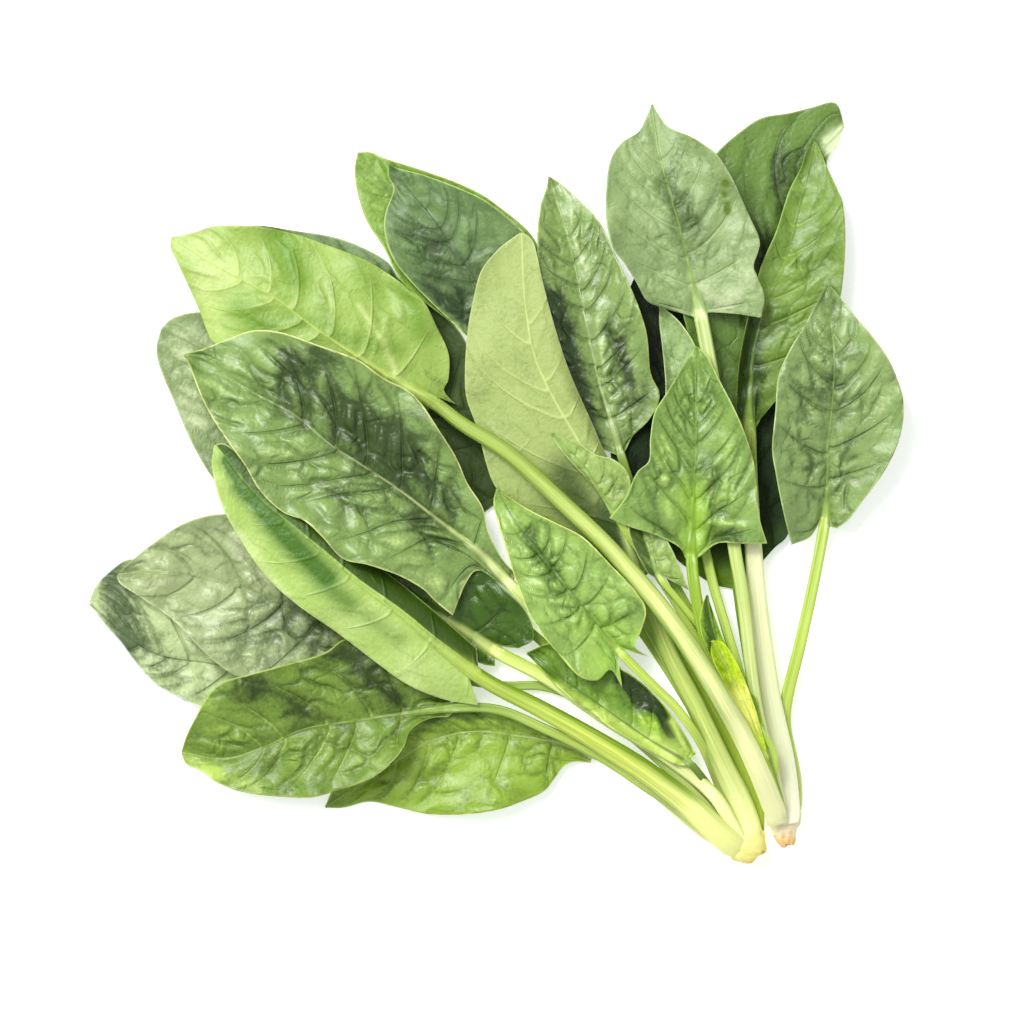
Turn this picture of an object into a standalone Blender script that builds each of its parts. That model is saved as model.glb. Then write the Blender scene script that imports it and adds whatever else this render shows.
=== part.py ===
"""Two spinach plants lying side by side: flat leaves on long stalks, gathered into two crowns.

Lengths are in millimetres until a mesh is made, and the finished objects are in metres, +Z up.
The bunch lies on the floor at z = 0. Each leaf, blade and stalk together, is one closed solid.
Its outline is drawn in plan, and it then settles on the leaves listed before it.
"""

import math
from typing import NamedTuple

import bmesh
import bpy
import numpy as np

MM = 0.001

# Middle of the whole bunch in plan, which becomes the origin.
CENTRE = (-0.2, -0.5)

# Mesh density.
STALK_STATIONS = 7
BLADE_STATIONS = 8
WING_COLUMNS = 3
SPLINE_STEPS = 12

# Leaf body.
BLADE_THICKNESS = 0.7
SHOULDER_SHARE = 0.3
RIB_TIP_WIDTH = 0.9
HEEL_FADE = 4

# Settling: how leaves come to rest on one another.
FLOOR_X = (-150.0, 150.0)
FLOOR_Y = (-140.0, 140.0)
CELL = 0.5
CLEARANCE = 0.45
SETTLE_STEPS = 260
SETTLE_DROP = 0.05
CROWN_PULL = 3.0
PUSH_STEPS = 60
PUSH_ENOUGH = 0.002


class Leaf(NamedTuple):
    """One leaf in plan: its sizes, its natural bend and the curves of its outline.

    face is 1 with the upper side up and -1 with the underside up. cup lifts the margins,
    arch lifts the middle and wave ripples the margins. Curves run from crown to tip.
    """

    name: str
    plant: str
    finish: str
    base_width: float
    neck_width: float
    stalk_height: float
    face: int
    cup: float
    arch: float
    wave: float
    stalk: tuple
    rib: tuple
    left: tuple
    right: tuple
    left_heel: tuple = ()
    right_heel: tuple = ()


class Crown(NamedTuple):
    """One crown: rings along its axis, each (distance, half width, half height)."""

    name: str
    finish: str
    front: tuple
    heading: tuple
    rise: float
    rings: tuple


LEAVES = (
    Leaf(
        name="leaf_left_back",
        plant="left",
        finish="leaf_mid",
        base_width=3.2,
        neck_width=3.0,
        stalk_height=1.8,
        face=1,
        cup=3.0,
        arch=1,
        wave=1.5,
        stalk=((82.5, -117.5), (64.5, -100.5), (41, -77), (18, -55.5), (-5.5, -35.5), (-32, -12.5)),
        rib=((-49, 1.5), (-69, 19.5), (-85.5, 35.5), (-102, 46.5), (-112, 51.5)),
        left=(
            (-37, -21.5), (-52, -20.5), (-69, -13.5), (-82, -7), (-93, 0), (-99, 8.5), (-104, 18.5),
            (-108, 28), (-112, 37.5), (-113.5, 44.5)
        ),
        right=(
            (-29, -3.5), (-35.5, 11.5), (-49, 28), (-65.5, 44.5), (-82, 54), (-97, 57), (-107, 55.5)
        ),
    ),
    Leaf(
        name="leaf_under_pale",
        plant="left",
        finish="leaf_dark",
        base_width=3.2,
        neck_width=3.0,
        stalk_height=1.8,
        face=1,
        cup=2.5,
        arch=1,
        wave=1.5,
        stalk=((85, -115.5), (72, -87), (53, -55.5), (34.5, -32), (18, -15.5), (5, -3.5)),
        rib=((-2, 6.5), (-17, 26.5), (-32, 44.5), (-49, 61.5), (-65.5, 74.5), (-85.5, 85.5)),
        left=((-6, -12), (-19, 1.5), (-32, 14.5), (-52, 34.5), (-69, 51.5), (-82, 68), (-86, 79.5)),
        right=(
            (11, 4.5), (1, 18), (-5.5, 31.5), (-9.5, 46.5), (-19, 58), (-31.5, 67.5), (-37, 74.5),
            (-52, 81.5), (-69, 84.5), (-79, 86)
        ),
    ),
    Leaf(
        name="leaf_far_left",
        plant="left",
        finish="leaf_dark",
        base_width=3.2,
        neck_width=3.0,
        stalk_height=1.9,
        face=1,
        cup=3.5,
        arch=4,
        wave=2.0,
        stalk=(
            (79.5, -119.5), (68, -109.5), (48, -97), (21, -87), (-9, -77), (-39, -70.5), (-65.5, -68.5)
        ),
        rib=((-94, -61), (-112, -58), (-124, -51), (-136, -40.5)),
        left=(
            (-69, -76), (-84, -77.5), (-97, -75.5), (-105.5, -72), (-115.5, -66), (-125.5, -53.5),
            (-132, -46.5)
        ),
        right=(
            (-69, -60.5), (-82, -48.5), (-99, -35.5), (-112, -27), (-122, -25.5), (-130.5, -31),
            (-134.5, -36)
        ),
    ),
    Leaf(
        name="leaf_left_sheen",
        plant="left",
        finish="leaf_mid",
        base_width=3.2,
        neck_width=3.0,
        stalk_height=1.9,
        face=1,
        cup=4.0,
        arch=5,
        wave=2.0,
        stalk=(
            (79.5, -119.5), (68, -105.5), (48, -87), (31, -74.5), (17, -68.5), (1, -68), (-15.5, -64.5),
            (-37, -54.5)
        ),
        rib=((-52, -47), (-65.5, -41), (-79, -37.5), (-94, -33), (-109, -30), (-126.5, -31)),
        left=(
            (-41.5, -61.5), (-55.5, -68.5), (-72, -69.5), (-86.5, -64.5), (-97, -56.5), (-107, -46.5),
            (-119, -38), (-125, -34)
        ),
        right=(
            (-37, -45.5), (-45.5, -30.5), (-59, -17), (-72, -11.5), (-89.5, -10.5), (-99, -12),
            (-107, -15.5), (-115.5, -21.5), (-122, -27)
        ),
    ),
    Leaf(
        name="leaf_bottom",
        plant="left",
        finish="leaf_mid",
        base_width=3.6,
        neck_width=3.0,
        stalk_height=2.2,
        face=1,
        cup=3.0,
        arch=3,
        wave=2.5,
        stalk=((76.5, -122), (68, -116), (53, -103.5), (41, -95.5), (33, -91)),
        rib=((21, -87), (8, -85), (-7, -83.5), (-22, -87), (-37, -96), (-57, -109)),
        left=(
            (32, -94), (27, -93.5), (23, -95), (20, -99), (16, -103.5), (8, -107), (-0.5, -109.5),
            (-12, -111), (-22, -111), (-32, -109), (-42, -107), (-50.5, -109)
        ),
        right=(
            (29.5, -87.5), (14.5, -82), (1, -77), (-9, -73.5), (-22, -75.5), (-35.5, -83.5),
            (-47, -93.5), (-54, -102.5)
        ),
    ),
    Leaf(
        name="leaf_lower_left",
        plant="left",
        finish="leaf_mid",
        base_width=3.6,
        neck_width=3.2,
        stalk_height=2.2,
        face=1,
        cup=4.0,
        arch=7,
        wave=2.5,
        stalk=((76.5, -122), (68, -113.5), (51, -102), (34.5, -91), (16, -82), (1, -76), (-14, -75.5)),
        rib=((-32, -77.5), (-49, -80), (-64, -82.5), (-77, -88.5), (-90.5, -92.5), (-105, -90.5)),
        left=(
            (-15.5, -78.5), (-22, -79), (-28, -82.5), (-30.5, -88.5), (-35.5, -94.5), (-42, -99),
            (-52, -102.5), (-62, -105), (-75.5, -104.5), (-85.5, -103), (-93, -100), (-98, -96.5),
            (-103, -94.5)
        ),
        right=(
            (-16, -72.5), (-21.5, -70.5), (-27, -67), (-35.5, -57), (-44, -52), (-50.5, -52.5),
            (-57, -57), (-69, -60.5), (-82, -64), (-90.5, -66.5), (-95, -70.5), (-99.5, -78),
            (-103, -84.5)
        ),
    ),
    Leaf(
        name="leaf_bright_back",
        plant="left",
        finish="leaf_mid",
        base_width=3.2,
        neck_width=3.0,
        stalk_height=1.8,
        face=1,
        cup=3.0,
        arch=3,
        wave=2.0,
        stalk=((82.5, -117), (77, -97), (64, -72), (45, -37), (26, -0.5), (11, 28), (1, 48)),
        rib=((-9, 63), (-20.5, 78), (-32, 93), (-46, 110.5)),
        left=(
            (-6, 46.5), (-15.5, 54), (-24, 60.5), (-32, 68), (-37, 78), (-43, 87.5), (-46, 96.5),
            (-47, 104.5)
        ),
        right=(
            (11, 54.5), (16, 68), (13, 81.5), (1, 92.5), (-9, 98.5), (-22, 103.5), (-35.5, 108),
            (-41.5, 110.5)
        ),
    ),
    Leaf(
        name="leaf_grey_green",
        plant="left",
        finish="leaf_dark",
        base_width=4.4,
        neck_width=3.0,
        stalk_height=2.4,
        face=1,
        cup=3.5,
        arch=5,
        wave=1.5,
        stalk=(
            (89, -112), (87, -103), (83, -94.5), (76.5, -82.5), (70, -71), (56, -47), (36, -8.5),
            (16, 21.5), (1, 46.5)
        ),
        rib=((-6, 66.5), (-14, 78), (-22, 89.5), (-29, 98), (-35.5, 106)),
        left=(
            (-7, 46.5), (-14, 53), (-22, 60.5), (-30.5, 69.5), (-35, 76.5), (-37, 84.5), (-36.5, 90.5),
            (-34, 98), (-36, 102.5)
        ),
        right=(
            (11, 51.5), (17, 64.5), (16, 74.5), (9.5, 83.5), (-2, 93), (-12, 98), (-22, 102),
            (-30.5, 104.5)
        ),
    ),
    Leaf(
        name="leaf_dark_centre",
        plant="right",
        finish="leaf_dark",
        base_width=3.2,
        neck_width=3.0,
        stalk_height=1.8,
        face=1,
        cup=2.0,
        arch=1,
        wave=1.5,
        stalk=((95, -109.5), (92.5, -93.5), (87, -72), (83.5, -52), (81, -35.5)),
        rib=((78, -12), (73, 18), (68, 38), (61, 54.5), (48, 71.5)),
        left=(
            (73, -34.5), (61, -26), (49.5, -13.5), (40.5, 0.5), (38.5, 14.5), (39.5, 31.5), (42, 48),
            (44, 61.5)
        ),
        right=(
            (85, -32), (93, -22.5), (98, -17.5), (101, -5.5), (101, 11.5), (98, 28), (91, 44.5),
            (81, 58), (68, 68), (54.5, 72)
        ),
    ),
    Leaf(
        name="leaf_ridged",
        plant="right",
        finish="leaf_dark",
        base_width=3.2,
        neck_width=3.0,
        stalk_height=1.9,
        face=1,
        cup=5.0,
        arch=4,
        wave=1.5,
        stalk=(
            (91, -109.5), (88, -93.5), (80, -72), (73, -57), (64.5, -42), (54.5, -23.5), (48, -8.5),
            (42, 9.5)
        ),
        rib=((38.5, 21.5), (35, 33), (32, 46.5), (29, 61.5), (25.5, 78), (22, 90.5), (18, 102.5)),
        left=(
            (34.5, 11.5), (28, 21.5), (22, 34.5), (17, 51.5), (15, 68), (14, 79.5), (15, 91.5), (17, 98)
        ),
        right=(
            (46, 15.5), (52, 21.5), (55, 29), (52, 36.5), (50.5, 49.5), (47, 60.5), (43, 69.5),
            (38.5, 79.5), (34.5, 87.5), (28, 94.5), (22, 100)
        ),
    ),
    Leaf(
        name="leaf_back_right",
        plant="right",
        finish="leaf_dark",
        base_width=3.4,
        neck_width=3.2,
        stalk_height=2.0,
        face=1,
        cup=3.5,
        arch=4,
        wave=2.5,
        stalk=((99, -109.5), (97, -93.5), (93.5, -72), (90.5, -52), (87, -32), (85, -12), (84, 17.5)),
        rib=((85, 33), (88, 51.5), (92, 71.5), (98, 89.5), (106, 106.5), (117, 119.5)),
        left=(
            (79.5, 22), (69.5, 38), (63, 54.5), (61, 71.5), (64.5, 89.5), (69.5, 103), (74.5, 110.5),
            (83, 118), (89.5, 122), (98, 123.5), (106, 125.5), (114, 127)
        ),
        right=((93, 28), (101, 41.5), (108, 58), (112, 74.5), (114, 91.5), (111, 106), (114.5, 113)),
    ),
    Leaf(
        name="leaf_front_right",
        plant="right",
        finish="leaf_mid",
        base_width=7.2,
        neck_width=4.4,
        stalk_height=3.4,
        face=1,
        cup=4.0,
        arch=6,
        wave=2.0,
        stalk=(
            (98, -109.5), (96, -93.5), (92, -73.5), (89.5, -55.5), (87, -32), (85.5, -5.5), (85, 18)
        ),
        rib=(
            (85.5, 33), (86.5, 44.5), (90.5, 59.5), (97, 74.5), (101, 89.5), (105, 104.5), (107, 114.5)
        ),
        left=(
            (80.5, 22), (81, 38), (84, 54.5), (88.5, 71.5), (93.5, 83), (96, 90.5), (98.5, 98),
            (102, 104.5), (104, 110.5)
        ),
        right=(
            (89, 21.5), (96, 29.5), (104, 35.5), (110.5, 48), (115, 61.5), (116.5, 78), (116, 91.5),
            (114.5, 97), (111, 105.5), (109, 110.5)
        ),
    ),
    Leaf(
        name="leaf_pale_centre",
        plant="left",
        finish="leaf_pale",
        base_width=6.4,
        neck_width=4.6,
        stalk_height=3.2,
        face=-1,
        cup=-2.5,
        arch=4,
        wave=1.2,
        stalk=(
            (85.5, -114.5), (82, -106.5), (77, -96.5), (68, -77), (58, -57), (50.5, -38.5), (48, -32)
        ),
        rib=((40, -8), (28.5, 12.5), (19, 29), (13, 43), (10, 61.5), (9, 83.5)),
        left=(
            (34.5, -25.5), (21, -15.5), (8, -8), (-0.5, -0.5), (-6, 18), (-9.5, 28), (-10, 38),
            (-9, 51.5), (-7, 62), (-4.5, 70.5), (1, 77.5), (6, 81.5)
        ),
        right=(
            (53, -29.5), (50.5, -19.5), (44, -2.5), (37, 9.5), (32.5, 19.5), (25, 36.5), (20, 51.5),
            (16, 66.5), (13, 79.5)
        ),
    ),
    Leaf(
        name="leaf_small_pale",
        plant="right",
        finish="leaf_mid",
        base_width=2.6,
        neck_width=2.6,
        stalk_height=1.5,
        face=1,
        cup=2.0,
        arch=2,
        wave=1.0,
        stalk=((90, -109.5), (86, -93.5), (77, -72), (67, -52), (54.5, -31.5), (45, -18.5), (41, -12)),
        rib=((36, -4.5), (29.5, 5.5), (18.5, 16.5)),
        left=((38.5, -11), (35.5, -5.5), (31, 0.5), (25, 7), (20.5, 12.5)),
        right=((42, -8.5), (45, -2), (44, 3.5), (39.5, 7.5), (34, 9), (28.5, 12.5), (23, 15)),
    ),
    Leaf(
        name="leaf_small_hidden",
        plant="right",
        finish="leaf_mid",
        base_width=2.4,
        neck_width=2.2,
        stalk_height=1.4,
        face=1,
        cup=1.5,
        arch=1,
        wave=1.0,
        stalk=((92.5, -109.5), (89.5, -93.5), (82, -72), (72, -53.5), (62, -40.5), (55, -32)),
        rib=((53, -25.5), (50.5, -18.5), (48, -7)),
        left=((51, -30.5), (47, -23.5), (44.5, -17), (44.5, -10.5)),
        right=((64.5, -36), (61, -27), (58.5, -21.5), (55, -15.5), (51, -9.5)),
    ),
    Leaf(
        name="leaf_narrow_dark",
        plant="left",
        finish="leaf_dark",
        base_width=4.6,
        neck_width=4.4,
        stalk_height=2.6,
        face=1,
        cup=3.0,
        arch=2,
        wave=1.5,
        stalk=((80.5, -119), (73.5, -105), (57, -91.5), (37, -79), (19, -66.5), (1, -57)),
        rib=((-10.5, -49.5), (-22, -43), (-35.5, -35.5), (-50.5, -26.5), (-62, -17), (-70.5, -10.5)),
        left=(
            (0, -61.5), (-3.5, -61), (-7, -59.5), (-14, -56), (-22, -53.5), (-32, -47), (-45.5, -38.5),
            (-57, -28.5), (-65.5, -20.5)
        ),
        right=(
            (8, -55.5), (13, -52), (10.5, -43.5), (3, -35.5), (-5.5, -28.5), (-19, -25.5), (-32, -23.5),
            (-45.5, -18.5), (-59, -12)
        ),
    ),
    Leaf(
        name="leaf_folded",
        plant="left",
        finish="leaf_pale",
        base_width=7.6,
        neck_width=5.0,
        stalk_height=3.8,
        face=-1,
        cup=-5.0,
        arch=6,
        wave=1.0,
        stalk=(
            (77, -121.5), (68, -110.5), (51, -97), (34.5, -86.5), (16, -76), (1, -68.5), (-7, -63.5)
        ),
        rib=(
            (-19, -54.5), (-32, -43.5), (-45.5, -33.5), (-59, -22), (-70.5, -12.5), (-80.5, -3.5),
            (-88, 5.5), (-93.5, 12.5)
        ),
        left=(
            (-5.5, -74.5), (-17, -72.5), (-29, -67.5), (-39, -60.5), (-52, -50.5), (-65.5, -41),
            (-75.5, -32), (-84.5, -19.5), (-91, -7), (-94, 4.5)
        ),
        right=(
            (-6, -55.5), (-15.5, -47), (-29, -35.5), (-42, -25.5), (-55.5, -14.5), (-69, -4.5),
            (-82, 7), (-89.5, 12.5)
        ),
    ),
    Leaf(
        name="leaf_heart_left",
        plant="left",
        finish="leaf_mid",
        base_width=2.8,
        neck_width=2.4,
        stalk_height=1.6,
        face=1,
        cup=2.5,
        arch=2,
        wave=1.2,
        stalk=((83.5, -116.5), (74.5, -105.5), (68, -97), (64.5, -93.5)),
        rib=((51, -85.5), (38, -76.5), (23, -66), (10.5, -57)),
        left=((61, -94.5), (55, -91.5), (48, -87.5), (36, -80), (26, -72.5), (18, -65.5)),
        right=(
            (67, -90.5), (63.5, -84.5), (58.5, -77), (53, -70.5), (43, -62.5), (31, -57), (19.5, -53.5)
        ),
    ),
    Leaf(
        name="leaf_behind_arrow",
        plant="right",
        finish="leaf_mid",
        base_width=3.2,
        neck_width=3.4,
        stalk_height=1.9,
        face=1,
        cup=2.5,
        arch=2,
        wave=1.5,
        stalk=((92.5, -109.5), (90, -93.5), (84, -72), (77, -48.5), (72, -30.5), (67, -5.5)),
        rib=((65, 11.5), (62.5, 28), (59, 44.5), (55, 59.5)),
        left=((61, -3.5), (56, 8), (56, 21.5), (57, 31.5), (56, 44.5), (55, 53)),
        right=((73, -2), (76, 11.5), (73, 28), (68, 43), (62, 53)),
    ),
    Leaf(
        name="leaf_holed",
        plant="right",
        finish="leaf_mid",
        base_width=3.8,
        neck_width=4.8,
        stalk_height=2.6,
        face=1,
        cup=3.5,
        arch=6,
        wave=2.0,
        stalk=(
            (96.5, -109.5), (91.5, -93.5), (86.5, -72), (82.5, -38.5), (79.5, -20.5), (75, 14.5),
            (73, 31.5), (68.5, 55.5)
        ),
        rib=((65.5, 68), (63, 79.5), (60, 90.5), (57, 101.5), (54.5, 111.5), (52.5, 126.5)),
        left=(
            (54.5, 58.5), (50.5, 60.5), (47, 66.5), (43, 72.5), (39, 78), (37, 86.5), (37, 98),
            (38.5, 107.5), (42.5, 113.5), (48, 117), (50.5, 122)
        ),
        right_heel=((71.5, 56.5), (79.5, 56)),
        right=(
            (88.5, 54.5), (89.5, 61.5), (87, 68.5), (86, 72), (88, 79.5), (85, 87.5), (81, 96.5),
            (77, 104), (73, 109.5), (66, 114.5), (58, 118.5), (55, 122.5)
        ),
    ),
    Leaf(
        name="leaf_right",
        plant="right",
        finish="leaf_mid",
        base_width=4.4,
        neck_width=3.8,
        stalk_height=2.4,
        face=1,
        cup=4.0,
        arch=6,
        wave=2.0,
        stalk=((103, -109.5), (99.5, -93.5), (97, -77), (102, -53.5), (106, -35.5), (110, -14.5)),
        rib=((111, -2), (111, 11.5), (112.5, 28), (113, 41.5), (112, 53), (111, 66)),
        left_heel=((105, -18.5),),
        left=(
            (99, -21), (96, -10.5), (93.5, 1.5), (92, 11.5), (93, 23), (94, 34.5), (98, 44), (103, 52),
            (107, 59.5)
        ),
        right=(
            (114, -15.5), (118, -12.5), (123, -5.5), (128.5, 2), (133, 10.5), (135.5, 19.5),
            (135, 29.5), (131, 39.5), (125, 48.5), (119.5, 55.5), (114.5, 62)
        ),
    ),
    Leaf(
        name="leaf_arrow",
        plant="right",
        finish="leaf_mid",
        base_width=3.4,
        neck_width=4.0,
        stalk_height=2.0,
        face=1,
        cup=3.5,
        arch=5,
        wave=2.0,
        stalk=((89.5, -109.5), (88, -93.5), (79.5, -72), (71, -55.5), (67, -38.5), (65.5, -25.5)),
        rib=((66, -12), (66.5, 1.5), (67, 14.5), (67, 29.5), (67, 45.5)),
        left_heel=((61, -21.5), (53, -17.5), (45, -15)),
        left=((38, -12), (43, -5.5), (47, 3), (51, 7), (51.5, 14.5), (53, 23), (57, 29.5), (62, 37.5)),
        right_heel=((74, -20.5), (81, -20.5)),
        right=(
            (90.5, -20.5), (88, -12.5), (87, -2), (86, 6.5), (83.5, 14.5), (79.5, 24), (74.5, 34),
            (70.5, 42)
        ),
    ),
    Leaf(
        name="leaf_heart_green",
        plant="right",
        finish="leaf_lime",
        base_width=2.4,
        neck_width=2.0,
        stalk_height=1.3,
        face=1,
        cup=1.5,
        arch=2,
        wave=1.0,
        stalk=((91, -109.5), (93, -92), (88.5, -82.5)),
        rib=((81, -68.5), (75, -55.5), (72, -45.5), (70.5, -37.5)),
        left=((79.5, -73.5), (73, -60.5), (69, -52), (68, -46), (69, -40.5)),
        right=((87, -72), (82, -65.5), (78, -57), (74.5, -48.5), (72, -41.5)),
    ),
    Leaf(
        name="leaf_heart_lime",
        plant="right",
        finish="leaf_lime",
        base_width=2.4,
        neck_width=2.0,
        stalk_height=1.3,
        face=1,
        cup=1.5,
        arch=2,
        wave=1.0,
        stalk=((96, -109.5), (92, -97), (89.5, -90.5)),
        rib=((83, -73.5), (78, -63.5), (72, -52.5)),
        left=((84.5, -83.5), (78, -70.5), (72, -58.5)),
        right=((87, -77), (84, -68.5), (80.5, -60.5), (76, -53.5)),
    ),
    Leaf(
        name="leaf_large_pale",
        plant="right",
        finish="leaf_pale",
        base_width=7.2,
        neck_width=4.6,
        stalk_height=3.4,
        face=-1,
        cup=-4.0,
        arch=7,
        wave=1.6,
        stalk=(
            (92, -109.5), (88.5, -98.5), (80.5, -81.5), (68, -60.5), (54.5, -41), (38, -22), (21, -5.5),
            (4.5, 9.5), (-10.5, 19), (-20.5, 26.5)
        ),
        rib=(
            (-32, 33), (-45.5, 41.5), (-59, 50.5), (-72, 60.5), (-85.5, 68), (-97, 74.5), (-108.5, 82)
        ),
        left=(
            (-22, 24), (-32, 22), (-49, 23), (-65.5, 27.5), (-82, 35.5), (-94, 46.5), (-99, 57.5),
            (-103, 66.5), (-106.5, 74), (-108.5, 78)
        ),
        right=(
            (-13, 26), (-17, 30.5), (-15.5, 34.5), (-15.5, 43), (-19.5, 52), (-24, 60.5), (-32, 67),
            (-42, 73.5), (-55.5, 79), (-69, 83.5), (-82, 85.5), (-94, 85.5), (-100.5, 83.5)
        ),
    ),
    Leaf(
        name="leaf_large_dark",
        plant="left",
        finish="leaf_dark",
        base_width=4.4,
        neck_width=3.8,
        stalk_height=2.4,
        face=1,
        cup=5.0,
        arch=8,
        wave=2.8,
        stalk=((82, -117.5), (72, -103.5), (61, -91), (48, -78.5), (34.5, -67), (23, -53.5), (5, -34)),
        rib=(
            (-5.5, -23), (-19, -12.5), (-32, -2.5), (-44, 5.5), (-55.5, 13), (-65.5, 21.5), (-79, 29),
            (-90.5, 35.5), (-104, 42.5)
        ),
        left_heel=((-5, -29.5), (-9.5, -33.5)),
        left=(
            (-14, -44.5), (-20, -39.5), (-24, -35.5), (-32, -31), (-42, -27.5), (-50.5, -25.5),
            (-57, -18.5), (-63, -13), (-70.5, -10), (-78, -3), (-83, 5.5), (-89.5, 14.5), (-95, 23),
            (-99, 31.5), (-101.5, 38)
        ),
        right=(
            (7, -30.5), (2.5, -25.5), (-2, -17), (-4, -8.5), (-9, -0.5), (-13, 8.5), (-19, 18),
            (-24, 25.5), (-29, 30.5), (-37, 34.5), (-45.5, 40.5), (-59, 45.5), (-70.5, 49.5),
            (-80.5, 50.5), (-89.5, 47.5), (-97, 44.5)
        ),
    ),
    Leaf(
        name="leaf_small_centre",
        plant="left",
        finish="leaf_mid",
        base_width=3.2,
        neck_width=3.0,
        stalk_height=1.8,
        face=1,
        cup=3.5,
        arch=5,
        wave=1.8,
        stalk=((85.5, -115), (77, -105.5), (69.5, -88.5), (61, -76), (53, -68), (42, -57)),
        rib=((34.5, -48), (24.5, -35.5), (14.5, -23.5), (6, -12), (0.5, -2)),
        left=(
            (42.5, -68.5), (38.5, -62.5), (34, -66), (28, -64.5), (21, -57), (13, -47), (8, -35.5),
            (4, -23.5), (1, -13.5), (-0.5, -7)
        ),
        right=(
            (51, -58), (46.5, -54.5), (48.5, -49.5), (50, -42), (46, -35.5), (38, -27), (29.5, -18.5),
            (21, -14), (11, -9), (4, -4.5)
        ),
    ),
)

CROWNS = (
    Crown(
        name="crown_left",
        finish="crown",
        front=(82.6, -119.4),
        heading=(0.6, -0.8),
        rise=7.8,
        rings=((0.0, 7.8, 7.4), (2.5, 7.4, 7.6), (5.0, 6.0, 6.4), (7.0, 4.2, 4.8)),
    ),
    Crown(
        name="crown_right",
        finish="crown",
        front=(96.4, -111.6),
        heading=(0.1, -0.995),
        rise=7.8,
        rings=((0.0, 7.6, 7.4), (3.5, 6.8, 7.6), (7.0, 5.0, 5.6), (9.8, 3.8, 3.8)),
    ),
)
CROWN_SIDES = 12

# Colour (linear RGB), roughness.
FINISHES = {
    "leaf_dark": ((0.045, 0.115, 0.030), 0.38),
    "leaf_mid": ((0.120, 0.270, 0.055), 0.42),
    "leaf_pale": ((0.330, 0.530, 0.130), 0.50),
    "leaf_lime": ((0.520, 0.660, 0.080), 0.45),
    "crown": ((0.800, 0.780, 0.480), 0.50),
}


def dense_curve(points):
    """Return a smooth polyline through the points, SPLINE_STEPS samples to each span."""
    knots = np.array(points, float)
    ends = np.vstack([2 * knots[0] - knots[1], knots, 2 * knots[-1] - knots[-2]])
    step = np.linspace(0.0, 1.0, SPLINE_STEPS, endpoint=False)[:, None]
    spans = []
    for before, start, end, after in zip(ends, ends[1:], ends[2:], ends[3:]):
        bend = 2 * before - 5 * start + 4 * end - after
        twist = 3 * start - 3 * end + after - before
        spans.append(0.5 * (2 * start + (end - before) * step + bend * step**2 + twist * step**3))
    return np.vstack(spans + [knots[-1:]])


def resample(line, shares):
    """Return the points of a polyline at the given shares of its length."""
    length = np.concatenate([[0.0], np.cumsum(np.linalg.norm(np.diff(line, axis=0), axis=1))])
    at = np.asarray(shares) * length[-1]
    return np.column_stack([np.interp(at, length, line[:, axis]) for axis in (0, 1)])


def side_normals(line):
    """Return the unit vectors that point left of a polyline's heading."""
    along = np.gradient(line, axis=0)
    along /= np.linalg.norm(along, axis=1)[:, None]
    return np.column_stack([-along[:, 1], along[:, 0]])


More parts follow.
